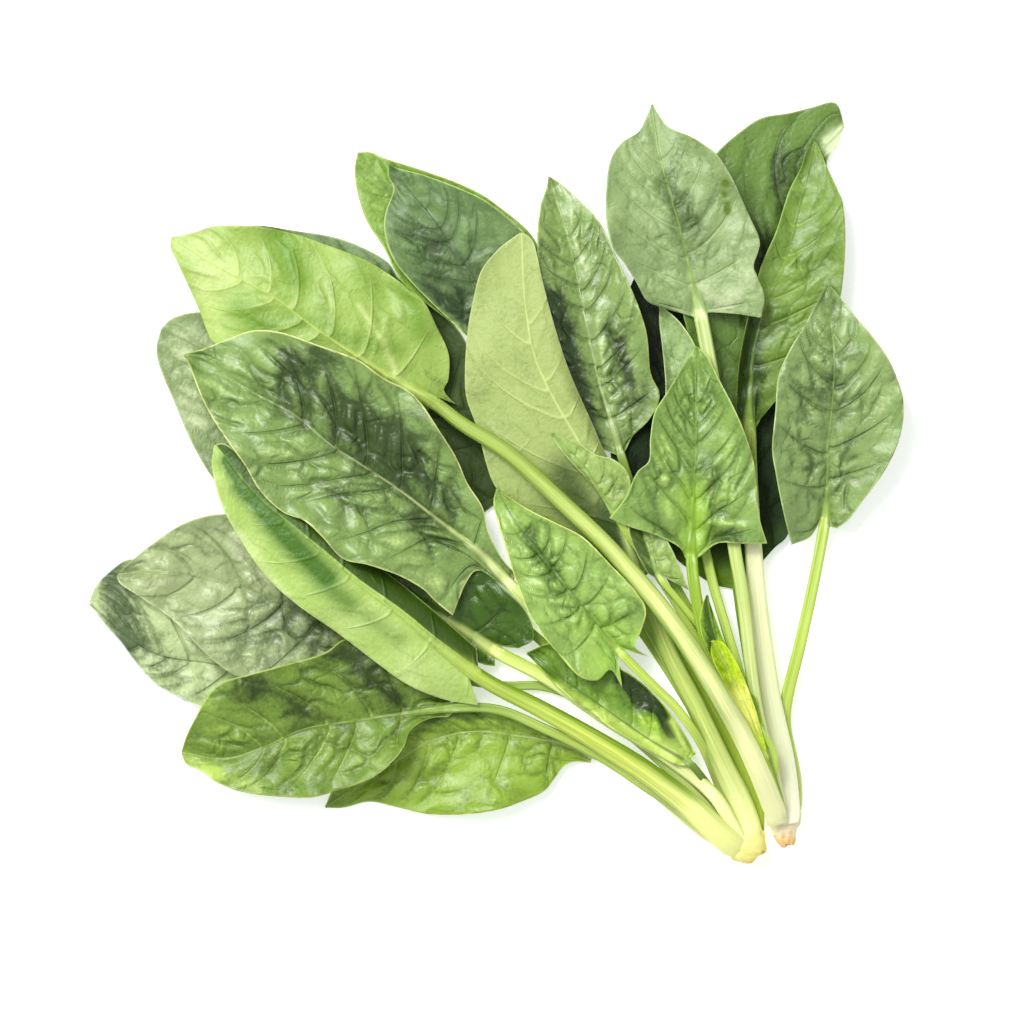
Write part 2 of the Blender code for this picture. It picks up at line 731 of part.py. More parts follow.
class Plan:
    """A leaf's points seen from above, with the height variable and offset of each one.

    Heights are solved for one variable at each station of the middle line and one at each
    point of the wings. A mesh vertex stands above or below its variable by its offset.
    """

    def __init__(self, leaf):
        self.leaf = leaf
        self.spots = []
        self.offsets = []
        self.owners = []
        self.faces = []
        self.rest = []
        self.links = []
        self.lay_middle()
        self.lay_wings()
        self.close_ends()

    def add(self, spot, owner, offset):
        """Add one vertex and return its number."""
        self.spots.append(tuple(spot))
        self.owners.append(owner)
        self.offsets.append(offset)
        return len(self.spots) - 1

    def new_height(self, rest):
        """Add one height variable and return its number."""
        self.rest.append(rest)
        return len(self.rest) - 1

    def lay_middle(self):
        """Lay the stalk and midrib: six points around each station."""
        leaf = self.leaf
        line = dense_curve(leaf.stalk + leaf.rib)
        neck = (len(leaf.stalk) - 1) * SPLINE_STEPS
        stalk = resample(line[: neck + 1], np.linspace(0, 1, STALK_STATIONS))
        self.shares = np.linspace(0.0, 1.0, BLADE_STATIONS + 1)
        blade = resample(line[neck:], self.shares)
        self.middle = np.vstack([stalk[:-1], blade])
        self.first_row = STALK_STATIONS - 1
        normals = side_normals(self.middle)
        self.rings = []
        self.centres = []
        for station, (spot, normal) in enumerate(zip(self.middle[:-1], normals)):
            half, top, bottom, shoulder = self.section(station)
            lift = leaf.arch * math.sin(math.pi * self.blade_share(station))
            owner = self.new_height(lift)
            if self.centres:
                self.links.append((owner, self.centres[-1]))
            self.centres.append(owner)
            left, right = spot + normal * half, spot - normal * half
            self.rings.append(
                [
                    self.add(spot, owner, top),
                    self.add(left, owner, shoulder),
                    self.add(left, owner, -shoulder),
                    self.add(spot, owner, -bottom),
                    self.add(right, owner, -shoulder),
                    self.add(right, owner, shoulder),
                ]
            )
        for ring, after in zip(self.rings, self.rings[1:]):
            self.join_rings(ring, after, self.rings.index(ring) < self.first_row)

    def blade_share(self, station):
        """Return how far along the blade a station is, 0 on the stalk and 1 at the tip."""
        return max(0.0, (station - self.first_row) / BLADE_STATIONS)

    def section(self, station):
        """Return half width, top, bottom and shoulder half height of a station."""
        leaf = self.leaf
        share = self.blade_share(station)
        skin = BLADE_THICKNESS / 2
        if station < self.first_row:
            along = station / self.first_row
            width = leaf.base_width + (leaf.neck_width - leaf.base_width) * along
            height = leaf.stalk_height / 2
            shoulder = height * SHOULDER_SHARE * (1 - along) + skin * along
            return width / 2, height, height, shoulder
        width = leaf.neck_width + (RIB_TIP_WIDTH - leaf.neck_width) * math.sqrt(share)
        proud = skin + (leaf.stalk_height / 2 - skin) * (1 - share) ** 2
        plain = skin + (leaf.stalk_height / 2 - skin) * (1 - share) ** 6
        if leaf.face > 0:
            return width / 2, plain, proud, skin
        return width / 2, proud, plain, skin

    def join_rings(self, ring, after, closed):
        """Skin the span between two stations, with its sides only where closed."""
        for side in range(6):
            beside = (side + 1) % 6
            if side in (1, 4) and not closed:
                continue
            self.faces.append((ring[side], ring[beside], after[beside], after[side]))

    def lay_wings(self):
        """Lay both wings of the blade, from the midrib out to the margins."""
        leaf = self.leaf
        tip = leaf.rib[-1]
        self.margins = []
        for hand, edge, heel in (
            (1, leaf.left, leaf.left_heel),
            (-1, leaf.right, leaf.right_heel),
        ):
            self.lay_wing(hand, dense_curve(edge + (tip,)), heel + edge[:1])

    def lay_wing(self, hand, edge, heel):
        """Lay one wing as a grid of points on its upper and lower side."""
        top_at, low_at = (1, 2) if hand > 0 else (5, 4)
        rows_top, rows_low, before = [], [], None
        margin = resample(edge, self.shares)
        out = np.linspace(0.0, 1.0, WING_COLUMNS + 1)[1:]
        neck = self.spots[self.rings[self.first_row][top_at]]
        back = resample(dense_curve((neck,) + heel), out)
        bow = back - (np.outer(1 - out, neck) + np.outer(out, margin[0]))
        for row in range(BLADE_STATIONS):
            ring = self.rings[self.first_row + row]
            centre = self.centres[self.first_row + row]
            shoulder = np.array(self.spots[ring[top_at]])
            share = self.shares[row]
            spots = shoulder + np.outer(out, margin[row] - shoulder)
            spots = spots + bow * (1 - share) ** HEEL_FADE
            owners = [centre] + [
                self.new_height(self.natural(share, reach, hand)) for reach in out
            ]
            self.links += list(zip(owners, owners[1:]))
            if before:
                self.links += list(zip(owners[1:], before[1:]))
            before = owners
            skin = BLADE_THICKNESS / 2
            rows_top.append([ring[top_at]])
            rows_low.append([ring[low_at]])
            for spot, owner in zip(spots, owners[1:]):
                rows_top[-1].append(self.add(spot, owner, skin))
                rows_low[-1].append(self.add(spot, owner, -skin))
        self.skin_wing(hand, rows_top, rows_low)
        self.margins.append((hand, rows_top[-1], rows_low[-1]))

    def natural(self, share, reach, hand):
        """Return the unloaded height of a point on a wing."""
        leaf = self.leaf
        arch = leaf.arch * math.sin(math.pi * share)
        cup = leaf.cup * reach**2 * math.sin(math.pi * min(1.0, share + 0.15)) ** 0.5
        ripple = leaf.wave * reach**2 * math.sin(2.6 * math.pi * share + 1.7 * hand + leaf.cup)
        return arch + cup + ripple

    def turn(self, hand, corners):
        """Add a face wound so that it looks out on the given hand."""
        self.faces.append(tuple(corners if hand > 0 else reversed(corners)))

    def skin_wing(self, hand, top, low):
        """Skin one wing: upper side, lower side, back edge and outer rim."""
        for column in range(WING_COLUMNS):
            for row in range(BLADE_STATIONS - 1):
                near, far = (row, column), (row + 1, column + 1)
                self.turn(
                    hand,
                    (
                        top[near[0]][near[1]],
                        top[near[0]][far[1]],
                        top[far[0]][far[1]],
                        top[far[0]][near[1]],
                    ),
                )
                self.turn(
                    hand,
                    (
                        low[far[0]][near[1]],
                        low[far[0]][far[1]],
                        low[near[0]][far[1]],
                        low[near[0]][near[1]],
                    ),
                )
            self.turn(hand, (low[0][column], low[0][column + 1], top[0][column + 1], top[0][column]))
        for row in range(BLADE_STATIONS - 1):
            self.turn(hand, (top[row][-1], low[row][-1], low[row + 1][-1], top[row + 1][-1]))

    def close_ends(self):
        """Close the cut end of the stalk and bring the blade to its tip."""
        self.faces.append(tuple(reversed(self.rings[0])))
        last = self.rings[-1]
        owner = self.new_height(0.0)
        self.links.append((owner, self.centres[-1]))
        tip = self.add(self.leaf.rib[-1], owner, 0.0)
        for first, second in ((0, 1), (2, 3), (3, 4), (5, 0)):
            self.faces.append((last[first], last[second], tip))
        for hand, top, low in self.margins:
            self.links.append((owner, self.owners[top[-1]]))
            for near, far in zip(top, top[1:]):
                self.turn(hand, (near, far, tip))
            for near, far in zip(low, low[1:]):
                self.turn(hand, (far, near, tip))
            self.turn(hand, (top[-1], low[-1], tip))

    def triangles(self):
        """Return the faces as triangles."""
        fans = [
            (face[0], face[turn], face[turn + 1])
            for face in self.faces
            for turn in range(1, len(face) - 1)
        ]
        return np.array(fans)


class Terrain:
    """The highest surface so far over the floor, on a square grid."""

    def __init__(self):
        self.columns = int((FLOOR_X[1] - FLOOR_X[0]) / CELL)
        self.rows = int((FLOOR_Y[1] - FLOOR_Y[0]) / CELL)
        self.height = np.full(self.rows * self.columns, -CLEARANCE)

    def cover(self, spots, triangles):
        """Return the cells under the triangles, with the corners and weights of each."""
        cells, corners, weights = [], [], []
        for triangle in triangles:
            inside, share = self.cells_in(spots[triangle])
            cells.append(inside)
            corners.append(np.repeat(triangle[None, :], len(inside), axis=0))
            weights.append(share)
        return np.concatenate(cells), np.vstack(corners), np.vstack(weights)

    def cells_in(self, corner):
        """Return the cells whose middles lie in one triangle, and their corner weights."""
        origin = np.array([FLOOR_X[0], FLOOR_Y[0]])
        grid = (corner - origin) / CELL - 0.5
        low, high = np.ceil(grid.min(axis=0)), np.floor(grid.max(axis=0))
        across, up = np.meshgrid(np.arange(low[0], high[0] + 1), np.arange(low[1], high[1] + 1))
        place = np.column_stack([across.ravel(), up.ravel()])
        first, second = grid[1] - grid[0], grid[2] - grid[0]
        area = first[0] * second[1] - first[1] * second[0]
        if abs(area) < 1e-9 or not len(place):
            return np.zeros(0, int), np.zeros((0, 3))
        away = place - grid[0]
        along = (away[:, 0] * second[1] - away[:, 1] * second[0]) / area
        over = (first[0] * away[:, 1] - first[1] * away[:, 0]) / area
        share = np.column_stack([1 - along - over, along, over])
        inside = share.min(axis=1) >= -1e-9
        spot = place[inside].astype(int)
        return spot[:, 1] * self.columns + spot[:, 0], share[inside]

    def widened(self):
        """Return the heights with each cell raised to the highest of its neighbours."""
        grid = self.height.reshape(self.rows, self.columns)
        for axis in (0, 1):
            grid = np.maximum(grid, np.maximum(np.roll(grid, 1, axis), np.roll(grid, -1, axis)))
        return grid.ravel()

    def settle(self, plan):
        """Lower a leaf until it rests on what is below, and return its vertex heights."""
        owners, offsets = np.array(plan.owners), np.array(plan.offsets)
        spots, triangles = np.array(plan.spots), plan.triangles()
        rest = np.array(plan.rest)
        lower = triangles[(offsets[triangles] <= 0.0).all(axis=1)]
        cells, corners, weights = self.cover(spots, lower)
        needed = self.widened()[cells] + CLEARANCE
        links = np.array(plan.links)
        count = np.bincount(links.ravel(), minlength=len(rest))
        lift = np.full(len(rest), -rest.min())
        for _ in range(SETTLE_STEPS):
            pull = np.zeros(len(rest))
            np.add.at(pull, links[:, 0], lift[links[:, 1]])
            np.add.at(pull, links[:, 1], lift[links[:, 0]])
            lift = pull / count - SETTLE_DROP
            lift[plan.centres[0]] -= CROWN_PULL
            lift, _ = self.push(lift, rest, owners, offsets, corners, weights, needed)
        for _ in range(PUSH_STEPS):
            lift, short = self.push(lift, rest, owners, offsets, corners, weights, needed)
            if short < PUSH_ENOUGH:
                break
        heights = (rest + lift)[owners] + offsets + max(short, 0.0)
        heights -= min(heights.min(), 0.0)
        self.raise_to(spots, triangles, heights)
        return heights

    def push(self, lift, rest, owners, offsets, corners, weights, needed):
        """Raise the heights wherever the leaf dips into what is below."""
        heights = (rest + lift)[owners] + offsets
        short = needed - (heights[corners] * weights).sum(axis=1)
        raised = np.zeros(len(lift))
        for corner in range(3):
            want = np.maximum(short, 0.0) * weights[:, corner]
            np.maximum.at(raised, owners[corners[:, corner]], want)
        return lift + raised, short.max()

    def raise_to(self, spots, triangles, heights):
        """Raise the terrain to the leaf that now lies on it."""
        cells, corners, weights = self.cover(spots, triangles)
        np.maximum.at(self.height, cells, (heights[corners] * weights).sum(axis=1))


def new_material(name, finish):
    """Return a new material with the colour and roughness of a finish."""
    colour, roughness = FINISHES[finish]
    material = bpy.data.materials.new(name)
    material.use_nodes = True
    shader = material.node_tree.nodes["Principled BSDF"]
    shader.inputs["Base Color"].default_value = (*colour, 1.0)
    shader.inputs["Roughness"].default_value = roughness
    shader.inputs["Metallic"].default_value = 0.0
    return material


def new_object(name, finish, points, faces):
    """Make one mesh object from points in millimetres, facing outwards."""
    mesh = bpy.data.meshes.new(name)
    shift = (*CENTRE, 0.0)
    placed = [tuple(MM * (at - by) for at, by in zip(point, shift)) for point in points]
    mesh.from_pydata(placed, [], faces)
    body = bmesh.new()
    body.from_mesh(mesh)
    bmesh.ops.triangulate(body, faces=body.faces, quad_method="FIXED")
    bmesh.ops.recalc_face_normals(body, faces=body.faces)
    body.to_mesh(mesh)
    body.free()
    mesh.materials.append(new_material(name, finish))
    thing = bpy.data.objects.new(name, mesh)
    bpy.context.scene.collection.objects.link(thing)
    return thing


def build_leaf(leaf, terrain):
    """Lay one leaf on the terrain and make its object."""
    plan = Plan(leaf)
    heights = terrain.settle(plan)
    points = [(*spot, height) for spot, height in zip(plan.spots, heights)]
    return new_object(leaf.name, leaf.finish, points, plan.triangles().tolist())


def build_crown(crown):
    """Make one crown as rings along its axis, closed at both ends."""
    along = np.array(crown.heading)
    across = np.array([-along[1], along[0]])
    points, rings = [], []
    for distance, half_width, half_height in crown.rings:
        ring = []
        for side in range(CROWN_SIDES):
            angle = 2 * math.pi * side / CROWN_SIDES
            spot = np.array(crown.front) + along * distance
            spot = spot + across * half_width * math.cos(angle)
            ring.append(len(points))
            points.append((*spot, crown.rise + half_height * math.sin(angle)))
        rings.append(ring)
    faces = [tuple(rings[0]), tuple(reversed(rings[-1]))]
    for ring, after in zip(rings, rings[1:]):
        for side in range(CROWN_SIDES):
            beside = (side + 1) % CROWN_SIDES
            faces.append((ring[side], after[side], after[beside], ring[beside]))
    return new_object(crown.name, crown.finish, points, faces)


def main():
    """Clear the scene, then build every leaf from the floor up and both crowns."""
    for thing in list(bpy.data.objects):
        bpy.data.objects.remove(thing, do_unlink=True)
    terrain = Terrain()
    for leaf in LEAVES:
        build_leaf(leaf, terrain)
    for crown in CROWNS:
        build_crown(crown)


main()
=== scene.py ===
"""Fresh spinach bunch: two plants lying side by side on a pale floor.

Every leaf is one thin quilted blade on a fluted stalk, laid over the solid of its own node.
The stalks run into two cream crowns with tan root ends. Lengths in the tables are millimetres.
"""

import logging
import math
from dataclasses import dataclass, field
from enum import Enum

import bpy
import numpy as np
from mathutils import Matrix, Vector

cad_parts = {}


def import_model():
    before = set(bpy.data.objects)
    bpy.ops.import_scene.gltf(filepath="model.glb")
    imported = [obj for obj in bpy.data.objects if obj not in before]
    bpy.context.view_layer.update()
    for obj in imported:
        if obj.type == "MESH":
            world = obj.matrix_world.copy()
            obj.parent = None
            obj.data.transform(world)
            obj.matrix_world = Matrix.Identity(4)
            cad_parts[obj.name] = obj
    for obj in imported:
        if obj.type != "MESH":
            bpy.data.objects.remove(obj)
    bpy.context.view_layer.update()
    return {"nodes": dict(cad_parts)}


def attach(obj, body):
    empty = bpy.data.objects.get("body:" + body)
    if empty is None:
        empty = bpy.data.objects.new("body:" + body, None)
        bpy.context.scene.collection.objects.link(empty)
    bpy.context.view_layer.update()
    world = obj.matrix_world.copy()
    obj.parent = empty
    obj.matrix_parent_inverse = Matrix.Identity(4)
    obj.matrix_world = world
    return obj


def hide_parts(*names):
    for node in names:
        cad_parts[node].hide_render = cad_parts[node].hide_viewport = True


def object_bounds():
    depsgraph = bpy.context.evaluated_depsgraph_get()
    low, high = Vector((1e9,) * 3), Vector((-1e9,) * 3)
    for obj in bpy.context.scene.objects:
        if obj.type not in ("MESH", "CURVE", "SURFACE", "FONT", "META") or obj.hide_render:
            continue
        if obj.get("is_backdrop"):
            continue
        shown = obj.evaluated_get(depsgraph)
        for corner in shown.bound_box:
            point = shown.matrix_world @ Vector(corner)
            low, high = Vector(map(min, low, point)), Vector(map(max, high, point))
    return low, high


LOG = logging.getLogger("spinach")

MM = 0.001
ROOT_BODY = "root"
SPLINE_STEPS = 12
# From the drawing board of the leaves to the middle of the bunch.
BOARD_SHIFT = np.array([0.2, 0.5])
# Stations and columns of the node solids, where their heights are read.
NODE_STALK_STATIONS = 7
NODE_BLADE_STATIONS = 8
NODE_WING_COLUMNS = 3
HEEL_FADE = 4
RIB_TIP_WIDTH = 0.9

# A point on the drawing board, and a curve through such points.
Vec = tuple[float, float]
Curve = tuple[Vec, ...]
Colour = tuple[int, int, int]
# Numbers or places in rows and columns.
Grid = np.ndarray
Thing = bpy.types.Object
Material = bpy.types.Material
Tree = bpy.types.NodeTree
Node = bpy.types.Node
Socket = bpy.types.NodeSocket
Sockets = bpy.types.bpy_prop_collection
# What a socket takes: another socket, a number or a colour.
Source = Socket | float | tuple


class Face(Enum):
    """Which side of a leaf looks up."""

    UPPER = 1
    UNDER = -1


class Plant(Enum):
    """Which crown a leaf grows from."""

    LEFT = "left"
    RIGHT = "right"


# Front of each crown on the drawing board, and where it points.
CROWN_AXES = {
    Plant.LEFT: ((82.6, -119.4), (0.6, -0.8)),
    Plant.RIGHT: ((96.4, -111.6), (0.1, -0.995)),
}
CROWN_RISE = 7.8
# How far into its crown the stalks of a plant draw together.
FOOT_DEPTH = 6.0
# The curve of a colour card: where it turns, its slope below that and its shape above.
CARD_TURN = 0.04045
CARD_SLOPE = 12.92
CARD_LIFT = 0.055
CARD_POWER = 2.4
# The least amount that anything is divided by.
TINY = 1e-6


def linear(colour: Colour) -> tuple[float, float, float, float]:
    """Turn a colour on the 0 to 255 scale into linear light.

    Args:
        colour: Red, green and blue as a colour card gives them.

    Returns:
        Linear red, green, blue and full opacity.
    """
    parts = [value / 255 for value in colour]
    dim = [part / CARD_SLOPE for part in parts]
    bright = [((part + CARD_LIFT) / (1 + CARD_LIFT)) ** CARD_POWER for part in parts]
    light = [low if part <= CARD_TURN else high for part, low, high in zip(parts, dim, bright)]
    return (*light, 1.0)


# -- Curves and small number tools -------------------------------------


# Waves of an uneven surface, and the spread of their lengths.
RIPPLE_WAVES = 9
RIPPLE_SPREAD = (0.7, 1.5)
# Cells before their pattern repeats, and how far their seeds stray.
CELL_PATTERN = 64
CELL_STRAY = (0.08, 0.92)


def curve_between(before: Grid, start: Grid, end: Grid, after: Grid, step: Grid) -> Grid:
    """Follow a smooth curve from one point to the next.

    Args:
        before: The point before the first.
        start: The first point.
        end: The next point.
        after: The point after that.
        step: Shares of the way between the two.

    Returns:
        The place at each share.
    """
    bend = 2 * before - 5 * start + 4 * end - after
    twist = 3 * start - 3 * end + after - before
    return 0.5 * (2 * start + (end - before) * step + bend * step**2 + twist * step**3)


def dense_curve(points: Curve) -> Grid:
    """Draw a smooth polyline through points.

    Args:
        points: The points in order.

    Returns:
        The samples, SPLINE_STEPS to each span.
    """
    knots = np.array(points, float)
    ends = np.vstack([2 * knots[0] - knots[1], knots, 2 * knots[-1] - knots[-2]])
    step = np.linspace(0.0, 1.0, SPLINE_STEPS, endpoint=False)[:, None]
    spans = [curve_between(*four, step) for four in zip(ends, ends[1:], ends[2:], ends[3:])]
    return np.vstack(spans + [knots[-1:]])


def arc_length(line: Grid) -> Grid:
    """Measure a polyline from its start to each of its points."""
    steps = np.linalg.norm(np.diff(line, axis=0), axis=1)
    return np.concatenate([[0.0], np.cumsum(steps)])


def resample(line: Grid, shares: Grid) -> Grid:
    """Read a polyline at shares of its length.

    Args:
        line: The polyline.
        shares: Places from 0 at its start to 1 at its end.

    Returns:
        One point for each share.
    """
    length = arc_length(line)
    at = np.asarray(shares) * length[-1]
    return np.column_stack([np.interp(at, length, line[:, axis]) for axis in (0, 1)])


def side_normals(line: Grid) -> Grid:
    """Find the unit vectors that point left of a polyline's heading.

    Args:
        line: The polyline.

    Returns:
        One vector for each of its points.
    """
    along = np.gradient(line, axis=0)
    along /= np.linalg.norm(along, axis=1)[:, None]
    return np.column_stack([-along[:, 1], along[:, 0]])


def smooth_read(values: Grid, at: Grid) -> Grid:
    """Read evenly spaced rows at places between them, along a smooth curve.

    Args:
        values: Rows of numbers.
        at: Places from 0 at the first row to 1 at the last.

    Returns:
        One row for each place.
    """
    rows = np.concatenate([2 * values[:1] - values[1:2], values, 2 * values[-1:] - values[-2:-1]])
    place = np.clip(np.asarray(at), 0.0, 1.0) * (len(values) - 1)
    whole = np.minimum(place.astype(int), len(values) - 2)
    step = (place - whole).reshape((-1,) + (1,) * (values.ndim - 1))
    return curve_between(*(rows[whole + turn] for turn in range(4)), step)


def ripples(a: Grid, b: Grid, wave: float, rng: np.random.Generator) -> Grid:
    """Make a soft uneven surface out of crossing waves.

    Args:
        a: Distances along the leaf.
        b: Distances across the leaf.
        wave: Mean length of a wave.
        rng: Source of the random waves.

    Returns:
        Heights between about -1 and 1.
    """
    total = np.zeros_like(a)
    for _ in range(RIPPLE_WAVES):
        heading = rng.uniform(0, 2 * math.pi)
        length = wave * rng.uniform(*RIPPLE_SPREAD)
        start = rng.uniform(0, 2 * math.pi)
        total += np.sin((a * math.cos(heading) + b * math.sin(heading)) * 2 * math.pi / length + start)
    return total / math.sqrt(RIPPLE_WAVES)


def cell_edges(a: Grid, b: Grid, seed: int) -> Grid:
    """Divide a surface into uneven cells one unit wide, as the finest ribs of a leaf do.

    Args:
        a: Places along the leaf.
        b: Places across the leaf.
        seed: Picks the pattern.

    Returns:
        The distance of each place from the nearest edge between cells.
    """
    wrap = CELL_PATTERN
    jitter = np.random.default_rng(seed).uniform(*CELL_STRAY, (wrap, wrap, 2))
    column, row = np.floor(a).astype(int), np.floor(b).astype(int)
    near, second = np.full(a.shape, np.inf), np.full(a.shape, np.inf)
    for right in (-1, 0, 1):
        for up in (-1, 0, 1):
            shift = jitter[(column + right) % wrap, (row + up) % wrap]
            reach = np.hypot(column + right + shift[..., 0] - a, row + up + shift[..., 1] - b)
            second = np.minimum(second, np.maximum(near, reach))
            near = np.minimum(near, reach)
    return (second - near) / 2


def bell(distance: Grid, width: float) -> Grid:
    """Shape a soft bump that is 1 at no distance and fades over a width."""
    return np.exp(-((distance / width) ** 2))


def neighbours(grid: Grid) -> list[Grid]:
    """Shift a grid by one cell each way, its outer cells standing for those beyond them.

    Args:
        grid: The cells.

    Returns:
        Four grids of the same size.
    """
    wide = np.pad(grid, 1, mode="edge")
    return [wide[:-2, 1:-1], wide[2:, 1:-1], wide[1:-1, :-2], wide[1:-1, 2:]]


def slope(plan: Grid, values: Grid) -> Grid:
    """Measure how steeply values change over a grid of places.

    Args:
        plan: The places, in rows and columns.
        values: One value for each place.

    Returns:
        The change for each millimetre.
    """
    down, across = np.gradient(plan, axis=0), np.gradient(plan, axis=1)
    value_down, value_across = np.gradient(values, axis=0), np.gradient(values, axis=1)
    area = down[..., 0] * across[..., 1] - down[..., 1] * across[..., 0]
    area = np.where(np.abs(area) < TINY, TINY, area)
    x = (value_down * across[..., 1] - value_across * down[..., 1]) / area
    y = (value_across * down[..., 0] - value_down * across[..., 0]) / area
    return np.hypot(x, y)


def stack_places(x: Grid, y: Grid, z: Grid | float) -> Grid:
    """Join three grids or numbers into one grid of places."""
    return np.stack(np.broadcast_arrays(x, y, z), axis=-1)


class MeshCloth:
    """Collects points, faces and painted values, then makes one mesh object."""

    def __init__(self) -> None:
        """Start with nothing."""
        self.points: list[Grid] = []
        self.faces: list[Grid] = []
        self.values: dict[str, list[Grid]] = {}
        self.places: dict[str, list[Grid]] = {}
        self.count = 0

    def add_points(self, points: Grid, values: dict[str, Grid], places: dict[str, Grid]) -> Grid:
        """Add a block of points.

        Args:
            points: Places in millimetres, the last axis being x, y, z.
            values: Painted numbers, one for each point.
            places: Painted places that textures follow, one for each point.

        Returns:
            The numbers of the points, in the block's own shape.
        """
        shape = points.shape[:-1]
        size = int(np.prod(shape))
        self.points.append(points.reshape(size, 3))
        for name, value in values.items():
            self.values.setdefault(name, []).append(np.broadcast_to(value, shape).reshape(size))
        for name, place in places.items():
            whole = np.broadcast_to(place, (*shape, 3)).reshape(size, 3)
            self.places.setdefault(name, []).append(whole)
        numbers = np.arange(self.count, self.count + size).reshape(shape)
        self.count += size
        return numbers

    def skin(self, numbers: Grid, flip: bool = False) -> None:
        """Cover a block of points with four-sided faces.

        Args:
            numbers: The numbers of the points, in rows and columns.
            flip: Whether the faces look the other way.
        """
        quads = np.stack(
            [numbers[:-1, :-1], numbers[:-1, 1:], numbers[1:, 1:], numbers[1:, :-1]], axis=-1
        ).reshape(-1, 4)
        self.faces.append(quads[:, ::-1] if flip else quads)

    def make(self, name: str, material: Material) -> Thing:
        """Make the object.

        Args:
            name: The piece's name.
            material: What it is dressed in.

        Returns:
            The new object, shaded smooth, in metres.
        """
        points = np.vstack(self.points) * MM
        faces = np.vstack(self.faces)
        mesh = bpy.data.meshes.new(name)
        mesh.vertices.add(len(points))
        mesh.vertices.foreach_set("co", points.astype(np.float32).ravel())
        mesh.loops.add(faces.size)
        mesh.loops.foreach_set("vertex_index", faces.astype(np.int32).ravel())
        mesh.polygons.add(len(faces))
        mesh.polygons.foreach_set("loop_start", np.arange(0, faces.size, 4, dtype=np.int32))
        mesh.polygons.foreach_set("use_smooth", np.ones(len(faces), dtype=bool))
        mesh.update(calc_edges=True)
        for title, blocks in self.values.items():
            layer = mesh.attributes.new(title, "FLOAT", "POINT")
            layer.data.foreach_set("value", np.concatenate(blocks).astype(np.float32))
        for title, blocks in self.places.items():
            layer = mesh.attributes.new(title, "FLOAT_VECTOR", "POINT")
            layer.data.foreach_set("vector", np.vstack(blocks).astype(np.float32).ravel())
        mesh.validate()
        mesh.materials.append(material)
        thing = bpy.data.objects.new(name, mesh)
        bpy.context.scene.collection.objects.link(thing)
        return thing


# -- Finishes ----------------------------------------------------------


@dataclass(frozen=True)
class StalkFinish:
    """Colours of a stalk from the crown to the blade.

    grooving is how strongly its hollows take the groove colour, and the two flank fields how strongly
    its left and right flanks take it, a painted shade on the stalk's sides.
    """

    crown_end: Colour
    middle: Colour
    blade_end: Colour
    groove: Colour
    rib: Colour = (190, 212, 116)
    green_from: float = 0.5
    green_to: float = 1.0
    grooving: float = 0.3
    left_side: float = 0.2
    right_side: float = 0.2


@dataclass(frozen=True)
class BladeFinish:
    """Colours and gloss of a blade.

    The colour of spots and patches is a real one on some leaves and a painted shade on others. The
    paler colour is that of random patches and of painted sheen and highlights. dome_tone is how much
    paler the swellings are painted than the creases between them, painted light on their tops and
    painted shade in the creases, wrinkle how rough the puckered parts are.
    """

    body: Colour
    shade: Colour
    # Paler colour of random patches and of the painted sheen and highlights.
    bloom: Colour
    vein: Colour
    # Colour along the margin: partly the margin's own paler green, partly a painted highlight on its edge.
    rim: Colour
    # Colour of spots and patches: real holes and patches on some leaves, a painted shade on others.
    mark: Colour = (92, 112, 40)
    dome_tone: float = 0.26
    wrinkle: float = 0.6
    net: float = 0.1
    side_vein: float = 0.5
    crease: float = 0.3
    roughness: float = 0.42
    gloss: float = 0.2


@dataclass(frozen=True)
class CrownFinish:
    """Colours of a crown from the stalks down to the root."""

    upper: Colour
    lower: Colour
    root: Colour
    roughness: float = 0.5


def kinds(colours: tuple[str, ...], amounts: tuple[str, ...]) -> dict[str, str]:
    """List inputs or outputs of an effect with the kind of each."""
    return dict.fromkeys(colours, "colour") | dict.fromkeys(amounts, "value")


BLADE_INPUTS = kinds(
    ("Body", "Shade", "Bloom", "Vein", "Rim", "Mark"),
    ("Dome tone", "Wrinkle", "Net", "Side vein", "Crease", "Roughness"),
)
STALK_INPUTS = kinds(
    ("Crown end", "Middle", "Blade end", "Groove", "Rib"),
    ("Green from", "Green to", "Grooving", "Left side", "Right side"),
)


def finish_values(finish: BladeFinish | StalkFinish, inputs: dict[str, str]) -> dict[str, Source]:
    """Read from a finish what an effect takes in, colours in linear light.

    Args:
        finish: The finish, its fields named like the inputs.
        inputs: Kind of each input.

    Returns:
        The values by field name.
    """
    values = {title.lower().replace(" ", "_"): kind for title, kind in inputs.items()}
    for name, kind in values.items():
        value = getattr(finish, name)
        values[name] = linear(value) if kind == "colour" else value
    return values


SOCKET_TYPES = {"value": "NodeSocketFloat", "colour": "NodeSocketColor"}
# Sockets of a mixing node: the factor and the two sides, then the result.
COLOUR_SOCKETS = (0, 6, 7, 2)
NUMBER_SOCKETS = (0, 2, 3, 0)
# How the nodes stand on a board.
BOARD_COLUMNS = 8
BOARD_STEP = (220, -260)


